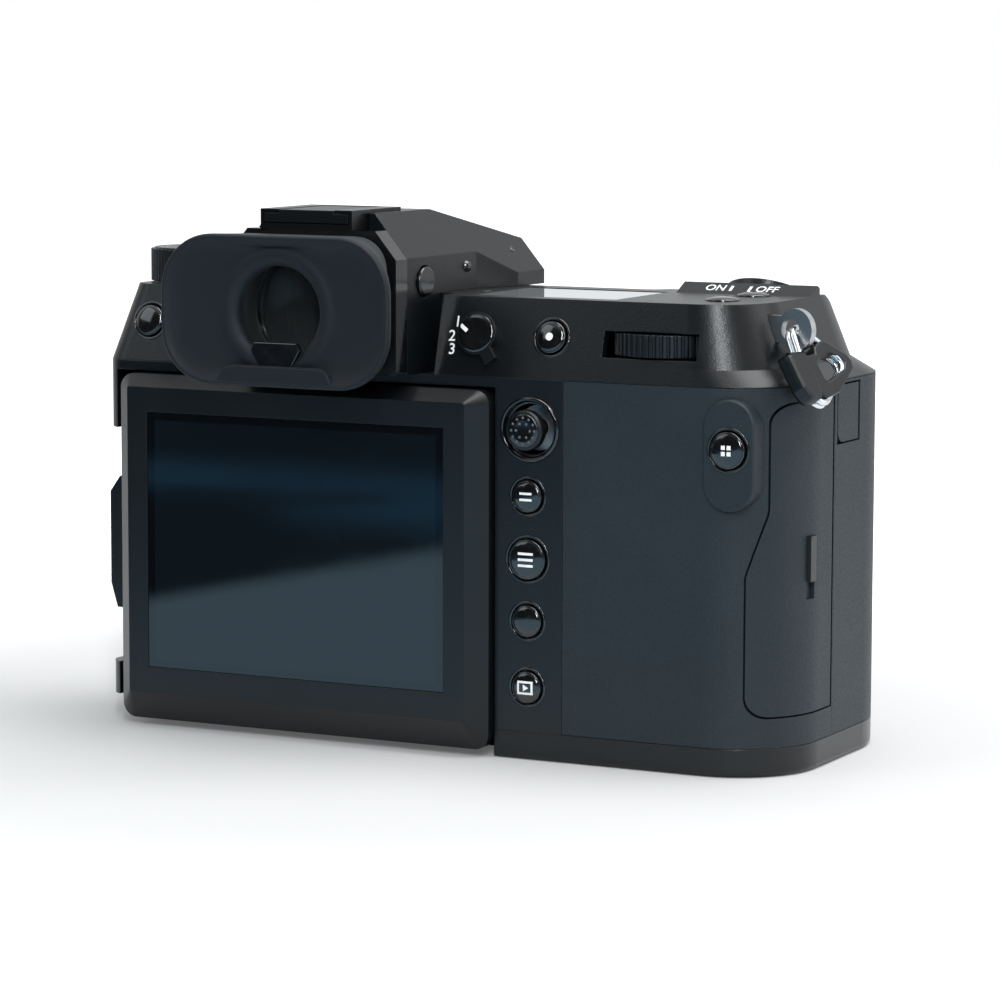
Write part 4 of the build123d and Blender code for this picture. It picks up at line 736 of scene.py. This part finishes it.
eyecup = {
    "sections": [  # Y, half width, bottom, top, corner of each ring, from its root to the lip
        (28.9, 17.6, 75.2, 100.1, 6.0),
        (32.0, 18.2, 74.6, 100.2, 6.6),
        (35.6, 19.8, 73.6, 100.3, 7.6),
        (38.6, 22.4, 72.5, 100.4, 9.2),
        (40.8, 24.3, 71.9, 100.5, 10.4),
        (41.9, 24.8, 71.7, 100.55, 10.8),
        (42.75, 24.85, 71.65, 100.5, 10.8),
        (43.2, 24.5, 72.0, 100.2, 10.5),
        (43.2, 24.0, 72.5, 99.7, 10.1),
        (42.75, 23.6, 72.9, 99.3, 9.9),
        (42.0, 22.0, 74.2, 98.0, 9.6),
    ],
    "rings": [  # Y and radius of the round part, from the face to the bore's foot
        (41.3, 13.2),
        (41.35, 12.2),
        (41.8, 11.4),
        (41.75, 10.5),
        (41.3, 9.5),
        (40.6, 8.8),
        (39.6, 8.6),
        (37.0, 9.3),
        (33.0, 10.2),
        (29.2, 11.2),
        (28.7, 12.4),
    ],
    "eye": 85.9,
    "count": 96,
    "weld": 0.001 * mm,
    "plates": {  # drawn rightward and upward
        "ledge": {
            "finish": "soft", "slot": "eyecup_rubber", "y": 41.6, "thickness": 1.5, "edge": 0.35,
            "outline": [(13.2, 71.9), (-13.0, 71.9), (-11.2, 75.0), (-9.4, 75.7), (9.8, 75.7),
                        (11.6, 75.0)],
        },
        "notch": {
            # a black gloss plate, nearly flush with the face, that paints the shade of the recessed
            # notch below the eyepiece opening
            "finish": "gloss", "slot": "gloss_black", "y": 41.05, "thickness": 1.2, "edge": 0.2,
            "outline": [(-5.4, 78.9), (-2.9, 74.6), (-2.4, 74.0), (2.4, 74.0), (2.9, 74.6),
                        (5.4, 78.9), (4.6, 80.2), (-4.6, 80.2)],
        },
    },
}


def makeEyecup(look):
    loops = []
    for y, half, low, high, corner in look["sections"]:
        loop = roundedLoop(look["count"], half, (high - low) / 2, corner)
        loops.append([(x, y, z + (high + low) / 2) for x, z in loop])
    turns = [2 * math.pi * step / look["count"] for step in range(look["count"])]
    for y, radius in look["rings"]:
        loops.append([(radius * math.cos(turn), y, look["eye"] + radius * math.sin(turn))
                      for turn in turns])
    loops.append(loops[0])
    shape = loft(loops)
    bmesh.ops.remove_doubles(shape, verts=shape.verts, dist=look["weld"])
    mesh = meshFrom(shape, "eyecup_soft")
    piece = newPiece("eyecup_soft", mesh, "camera_body", "soft")
    smooth = piece.modifiers.new("smooth", "SUBSURF")
    smooth.levels = smooth.render_levels = 1
    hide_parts("eyecup")
    for part, made in look["plates"].items():
        name = "eyecup_" + part
        shape = plate(made["outline"], made["thickness"], (0, made["y"], 0), rightward, upward,
                      made["edge"])
        newPiece(name, meshFrom(shape, name, False), "camera_body", made["finish"])


makeEyecup(eyecup)
print("eyecup made")


# button caps

buttons = {  # face centre, way out and radius
    "ael_button": ((-42.7, 20.9, 51.0), rearward, 3.1),
    "menu_button": ((-42.7, 20.9, 38.9), rearward, 3.9),
    "back_button": ((-42.7, 20.9, 27.0), rearward, 3.1),
    "play_button": ((-42.7, 20.9, 14.2), rearward, 3.1),
    "quick_button": ((-84.4, 21.6, 62.0), rearward, 3.5),
    "af_button": ((-46.6, 18.84, 81.48), wallOut, 3.1),
    "drive_button": ((42.6, 18.84, 81.48), wallOut, 3.1),
    "deck_button_rear": ((-76.0, 4.8, 88.9), upward, 3.2),
    "deck_button_front": ((-76.0, -9.7, 88.9), upward, 3.2),
}
buttonLook = {  # heights over the face and widths past the radius, in mm
    "dome": [(0, 0.42), (0.3, 0.39), (0.55, 0.30), (0.75, 0.16), (0.88, 0.0)],  # radius shares
    "rim": [(-0.12, -0.25), (0.03, -0.5), (0.03, -0.7)],
    "collar": [(0.27, -0.9), (0.27, -0.62), (0.38, -0.52), (0.62, -0.48), (0.8, -0.56),
               (0.85, -0.9)],
}


def makeButtons(look):
    for button, (face, out, radius) in buttons.items():
        profile = [(share * radius, height) for share, height in look["dome"]]
        profile += [(radius + more, height) for more, height in look["rim"]]
        profile.append((0, look["rim"][-1][1]))
        name = button + "_cap"
        newPiece(name, meshFrom(lathe(profile, face, out), name), button, "gloss")
        if button.startswith("deck"):
            continue
        name = button + "_collar"
        collar = [(radius + more, height) for more, height in look["collar"]]
        mesh = meshFrom(lathe(collar + collar[:1], face, out), name)
        newPiece(name, mesh, "camera_body", "gloss")


makeButtons(buttonLook)
print("button caps made")


# joystick

joystick = {
    "centre": (-43.0, 20.2, 63.8),
    "collar": [(6.28, -0.6), (6.3, 0.05), (6.1, 0.42), (5.75, 0.5), (5.4, 0.32), (5.2, -0.2),
               (4.9, -1.0), (5.3, -1.4)],
    "collarSteps": 64,
    "cap": (-43.0, 23.0, 63.8),
    "dome": [(0, 0.08), (1.2, 0.06), (1.9, 0.12), (3.0, 0.14), (3.25, 0.0), (3.1, -0.3), (0, -0.3)],
    "dot": [(0, 0.26), (0.12, 0.24), (0.23, 0.15), (0.29, 0.0), (0.29, -0.12), (0, -0.12)],
    "dotSteps": 10,
    "dotRise": 0.1,
    "rows": [(2.45, 12), (1.45, 6)],  # radius and number of dots
}


def makeJoystick(look):
    profile = look["collar"] + look["collar"][:1]
    collar = lathe(profile, look["centre"], rearward, look["collarSteps"])
    mesh = meshFrom(collar, "joystick_collar")
    newPiece("joystick_collar", mesh, "camera_body", "gloss")
    top = meshFrom(lathe(look["dome"], look["cap"], rearward), "joystick_top")
    newPiece("joystick_top", top, "joystick", "gloss")
    dots = []
    for radius, count in look["rows"]:
        for number in range(count):
            turn = 2 * math.pi * number / count
            shift = Vector((math.cos(turn) * radius, look["dotRise"], math.sin(turn) * radius))
            dots.append(lathe(look["dot"], Vector(look["cap"]) + shift, rearward, look["dotSteps"]))
    mesh = joined(dots, "joystick_dots", True)
    newPiece("joystick_dots", mesh, "joystick", "grey")


makeJoystick(joystick)


# strap ring guards

guard = {
    "plates": {  # drawn across and down from the ring's axis
        "plate": {
            "thickness": 2.9, "edge": 0.35,
            "outline": [(2.0, 6.2), (-1.1, 6.0), (-1.8, 4.6), (-4.6, 3.4), (-5.8, 3.5),
                        (-10.4, 6.8), (-11.0, 8.2), (-10.4, 9.8), (-3.4, 14.2), (1.6, 15.4),
                        (3.0, 14.0)],
            "slot": [(-0.6, 8.0), (-0.6, 11.2), (-1.4, 11.9), (-7.6, 9.6), (-8.6, 8.3),
                     (-7.8, 7.0), (-5.6, 6.0), (-1.6, 7.2)],
        },
        "sleeve": {
            "thickness": 3.4, "edge": 0.9,
            "outline": [(7.2, 5.6), (6.6, 5.1), (1.8, 5.0), (1.3, 5.6), (1.6, 12.0), (2.8, 15.6),
                        (6.4, 15.2), (7.3, 12.6)],
        },
    },
    "rings": {  # where each ring hangs, the way out of the body there, and its tilt in degrees
        "strap_ring_right": ((-92.0, 8.9, 83.9), (-0.966, 0.259, 0), 33.0),
        "strap_ring_left": ((53.2, -9.0, 83.9), (1, 0, 0), 25.0),
    },
}


def makeGuards(look):
    for ring, (place, out, tilt) in look["rings"].items():
        out, up = Vector(out), Vector(upward)
        hang = out * math.sin(math.radians(tilt)) - up * math.cos(math.radians(tilt))
        across = up.cross(out)
        across = across if across.y > 0 else -across
        side = across.cross(hang).normalized()
        for part, made in look["plates"].items():
            name = ring + "_" + part
            low = Vector(place) - side * made["thickness"] / 2
            shape = plate(made["outline"], made["thickness"], low, across, hang, made["edge"],
                          made.get("slot"))
            newPiece(name, meshFrom(shape, name, False), ring, "mould")


makeGuards(guard)
print("joystick and ring guards made")


# small trims on the covers

trims = {
    "indicator": {
        "place": (-19.35, 0.8, 93.1), "out": (-0.9993, 0.0373, 0), "body": "camera_body",
        "profile": [(0, 1.05), (0.45, 0.97), (0.85, 0.72), (1.12, 0.38), (1.2, 0.0), (1.45, -0.05),
                    (1.5, -0.4), (0, -0.4)],
    },
    "microphone": {
        "place": (-20.33, -17.25, 95.58), "out": (-0.766, 0.03, 0.642), "body": "camera_body",
        "profile": [(0, 0.08), (0.5, 0.09), (0.62, 0.12), (0.72, 0.08), (0.75, -0.3), (0, -0.3)],
    },
    "focus_cap": {
        "place": (-31.2, 19.6, 81.67), "out": wallOut, "body": "focus_lever",
        "profile": [(0, 0.22), (2.2, 0.2), (2.6, 0.28), (3.2, 0.28), (3.7, 0.1), (3.9, -0.2),
                    (0, -0.2)],
    },
}
trimSteps = 40

for name, look in trims.items():
    shape = lathe(look["profile"], look["place"], look["out"], trimSteps)
    newPiece(name, meshFrom(shape, name), look["body"], "gloss")
print("trims made")


# printed marks

def grid(count, size, step):
    # square spots in rows and columns
    middle = (count - 1) / 2
    return [bar(size, size, (column - middle) * step, (row - middle) * step)
            for column in range(count) for row in range(count)]


def frameOf(width, height, line):
    # a hollow rectangle of four bars
    return [bar(width, line, 0, (height - line) / 2), bar(width, line, 0, (line - height) / 2),
            bar(line, height, (width - line) / 2, 0), bar(line, height, (line - width) / 2, 0)]


def arrow(size):
    # a filled triangle that points across
    shape = bmesh.new()
    bmesh.ops.create_circle(shape, cap_ends=True, segments=3, radius=size)
    turn = Matrix.Rotation(-math.pi / 2, 3, "Z")
    bmesh.ops.rotate(shape, cent=(0, 0, 0), matrix=turn, verts=shape.verts)
    return shape


def stretched(shape, times):
    # taller by times
    bmesh.ops.scale(shape, vec=(1, times, 1), verts=shape.verts)
    return shape


marks = {  # what each is laid on, its body, the way up, and centres with what is drawn there in mm
    "power_words": ("top_cover", "camera_body", ridgeUp, [
        ((-66.1, -14.4, 89.45), [stretched(letters("ON", 2.7), 1.15)]),
        ((-69.4, -14.4, 89.45), [bar(0.6, 2.0)]),
        ((-73.3, -14.4, 89.45), [bar(0.6, 2.0)]),
        ((-76.9, -14.4, 89.45), [stretched(letters("OFF", 2.7), 1.15)])]),
    "focus_numbers": ("top_cover", "camera_body", wallUp, [
        ((-26.3, 17.6, 83.5), [letters("1", 3.0)]),
        ((-25.4, 18.3, 80.8), [letters("2", 3.0)]),
        ((-25.7, 18.9, 78.3), [letters("3", 3.0)])]),
    "focus_pointer": ("focus_cap", "focus_lever", wallUp, [
        ((-28.6, 19.6, 82.6), [bar(1.9, 0.75, 0, 0, 2.5)])]),
    "lock_mark": ("ael_button_cap", "ael_button", upward, [
        ((-42.7, 21.3, 51.0), [bar(2.6, 0.45, 0, 0.6), bar(2.6, 0.45, 0, -0.6)])]),
    "menu_mark": ("menu_button_cap", "menu_button", upward, [
        ((-42.7, 21.3, 38.9), [bar(3.2, 0.5, 0, 1.15), bar(3.2, 0.5), bar(3.2, 0.5, 0, -1.15)])]),
    "play_mark": ("play_button_cap", "play_button", upward, [
        ((-42.7, 21.3, 14.2), frameOf(3.3, 2.6, 0.42) + [arrow(0.75)])]),
    "quick_mark": ("quick_button_cap", "quick_button", upward, [
        ((-84.4, 22.0, 62.0), grid(2, 0.8, 1.15))]),
    "af_mark": ("af_button_cap", "af_button", wallUp, [((-46.6, 18.9, 81.5), [spot(0.75)])]),
    "plane_mark": ("top_cover", "camera_body", (0, -1, 0), [
        ((-25.1, 2.6, 88.5), [bar(1.5, 0.35)])]),
}


def makeMarks():
    for name, (onto, body, up, drawings) in marks.items():
        laid = []
        for centre, shapes in drawings:
            laid += [layMark(shape, onto, centre, rightward, up) for shape in shapes]
        newPiece(name, joined(laid, name), body, "white")


dialNumbers = {
    "node": "mode_dial",
    "centre": (39.5, 3.9, 94.9),
    "radius": 7.4,
    "size": 2.3,
    "words": "12345678",
}


def makeDialNumbers(look):
    shapes = []
    for number, word in enumerate(look["words"]):
        turn = 2 * math.pi * number / len(look["words"])
        outward = Vector((math.cos(turn), math.sin(turn), 0))
        across = outward.cross(Vector(upward))
        centre = Vector(look["centre"]) + outward * look["radius"]
        shapes.append(layMark(letters(word, look["size"]), look["node"], centre, across, outward))
    mesh = joined(shapes, "mode_dial_numbers")
    newPiece("mode_dial_numbers", mesh, look["node"], "white")


makeMarks()
makeDialNumbers(dialNumbers)
print("marks made")


# studio

ground = {
    "size": 6.0,
    "squares": 8,
    "drop": 0.02 * mm,
    "tone": (0.62, 0.63, 0.64),
    "seen": (0.44, 0.44, 0.44),  # darker to the camera, so that the shadow shows under the glow
    "nearGlow": 0.10,
    "farGlow": 0.9,
    "glowRange": (0.10, 0.28),  # how far from the tripod socket the glow grows
    "mirrorFrom": 0.06,  # the floor behind the camera, in Y, which glows in painted patches for the glossy parts to mirror
    "edgeLean": 0.177,  # the bright painted glow that the display mirrors as a reflection ends at a slanting line
    "edgeFrom": 0.165,
    "edgeSoft": 0.012,
    "brightSweep": (0.66, 1.0, 1.25),
    "dimSweep": (0.10, 0.32, 0.56),
    "farSweep": (0.03, 0.05, 0.07),
    "sweepBand": (0.29, 0.36, 0.40, 0.48),  # the soft blue band of painted glow for the reflection, in Y
    "sweepClouds": (11.0, 2.0, 0.5, 0.32, 0.62),
}


def makeFloor(look):
    shape = bmesh.new()
    bmesh.ops.create_grid(shape, x_segments=look["squares"], y_segments=look["squares"],
                          size=look["size"] / 2)
    bmesh.ops.translate(shape, vec=(0, 0, -look["drop"]), verts=shape.verts)
    mesh = meshFrom(shape, "floor")
    floor = bpy.data.objects.new("floor", mesh)
    collection.objects.link(floor)
    material, output = newShader("paleFloor")
    place = startOf(output)
    path = output.id_data.nodes.new("ShaderNodeLightPath")
    seen = Wire(output.id_data, path.outputs["Is Camera Ray"])
    glossy = Wire(output.id_data, path.outputs["Is Glossy Ray"])
    x, y = along(place, 0), along(place, 1)

    # what the camera sees
    diffuse = place.node("ShaderNodeBsdfDiffuse", None, {
        "Color": blendTones(seen, rgba(look["tone"]), rgba(look["seen"]))})
    away = place.node("ShaderNodeVectorMath", {"operation": "LENGTH"}, {0: place}, 1)
    lift = seen * (between(away, *look["glowRange"]) * look["farGlow"] + look["nearGlow"])
    glow = place.node("ShaderNodeEmission", None, {"Color": (1, 1, 1, 1), "Strength": lift})
    plain = place.node("ShaderNodeAddShader", None, {0: diffuse, 1: glow})

    # painted reflection: for glossy rays the floor behind the camera glows in set patches, which
    # the display and the glossy parts mirror
    start, full, fading, end = look["sweepBand"]
    band = between(y, start, full) * (1 - between(y, fading, end))
    band = band * patches(place, look["sweepClouds"])
    sweep = blendTones(band, rgba(look["farSweep"]), rgba(look["dimSweep"]))
    edge, soft = look["edgeFrom"], look["edgeSoft"]
    beyond = between(x + y * look["edgeLean"], edge - soft, edge + soft)
    sweep = blendTones(beyond, rgba(look["brightSweep"]), sweep)
    paintedReflection = place.node("ShaderNodeEmission", None, {"Color": sweep, "Strength": 1.0})
    behind = glossy * (y > look["mirrorFrom"])
    close(output, place.node("ShaderNodeMixShader", None, {0: behind, 1: plain, 2: paintedReflection}))
    mesh.materials.append(material)


room = {
    "light": (0.95, 0.98, 1.0),
    "level": 0.8,
    "darker": 0.76,  # at the dark end of the room, where the viewer stands
    "darkAlong": (0.0, 0.6),  # where it starts and is full, going back
    "darkUp": (0.55, 0.9),  # and where it fades, going up
}


def makeWorld(look):
    world = bpy.data.worlds.new("studio")
    world.use_nodes = True
    tree = world.node_tree
    tree.nodes.clear()
    start = Wire(tree, tree.nodes.new("ShaderNodeTexCoord").outputs["Generated"])
    path = tree.nodes.new("ShaderNodeLightPath")
    seen = Wire(tree, path.outputs["Is Camera Ray"])
    y, z = along(start, 1), along(start, 2)
    behind = between(y, *look["darkAlong"]) * (1 - between(z, *look["darkUp"]))
    level = look["level"] - behind * look["darker"]
    light = blendTones(level, (0, 0, 0, 1), rgba(look["light"]))
    light = blendTones(seen, light, (1, 1, 1, 1))
    back = start.node("ShaderNodeBackground", None, {"Color": light, "Strength": 1.0})
    output = tree.nodes.new("ShaderNodeOutputWorld")
    tree.links.new(back.socket, output.inputs["Surface"])
    bpy.context.scene.world = world


middle = (0, 0, 0.05)
lamps = {  # place, target, width, height, watts and tone
    "stripLamp": ((-0.50, 0.86, 0.62), (-0.08, 0.01, 0.07), 0.05, 0.7, 9.0, (0.93, 0.97, 1.0)),
    "topLamp": ((-0.35, -0.1, 1.1), middle, 0.9, 0.9, 15.0, (1, 1, 1)),
    "sideLamp": ((-1.1, -0.35, 0.5), middle, 0.7, 0.7, 2.5, (1, 1, 1)),
    "fillLamp": ((0.75, 0.75, 0.75), middle, 0.7, 0.7, 3.0, (0.88, 0.96, 1.0)),
}


def makeLamps():
    for name, (place, target, width, height, watts, tone) in lamps.items():
        lamp = bpy.data.lights.new(name, "AREA")
        lamp.shape = "RECTANGLE"
        lamp.energy = watts
        lamp.size = width
        lamp.size_y = height
        lamp.color = tone
        holder = bpy.data.objects.new(name, lamp)
        holder.location = place
        aim = Vector(target) - Vector(place)
        holder.rotation_euler = aim.to_track_quat("-Z", "Y").to_euler()
        collection.objects.link(holder)


view = {  # the photograph's angle
    "lens": 140.4,
    "sensor": 36.0,
    "right": (-0.8917, -0.4526, 0.0028),
    "up": (0.0571, -0.1064, 0.9927),
    "back": (-0.4489, 0.8854, 0.1207),
    "place": (-0.3713, 0.6800, 0.1399),
}


def makeCamera(look):
    camera = bpy.data.cameras.new("camera")
    camera.lens = look["lens"]
    camera.sensor_width = look["sensor"]
    holder = bpy.data.objects.new("camera", camera)
    columns = [look[name] for name in ("right", "up", "back", "place")]
    holder.matrix_world = Matrix([*zip(*columns), (0, 0, 0, 1)])
    collection.objects.link(holder)
    bpy.context.scene.camera = holder


makeFloor(ground)
makeWorld(room)
makeLamps()
makeCamera(view)
bpy.context.scene.view_settings.view_transform = "Standard"
print("studio made")
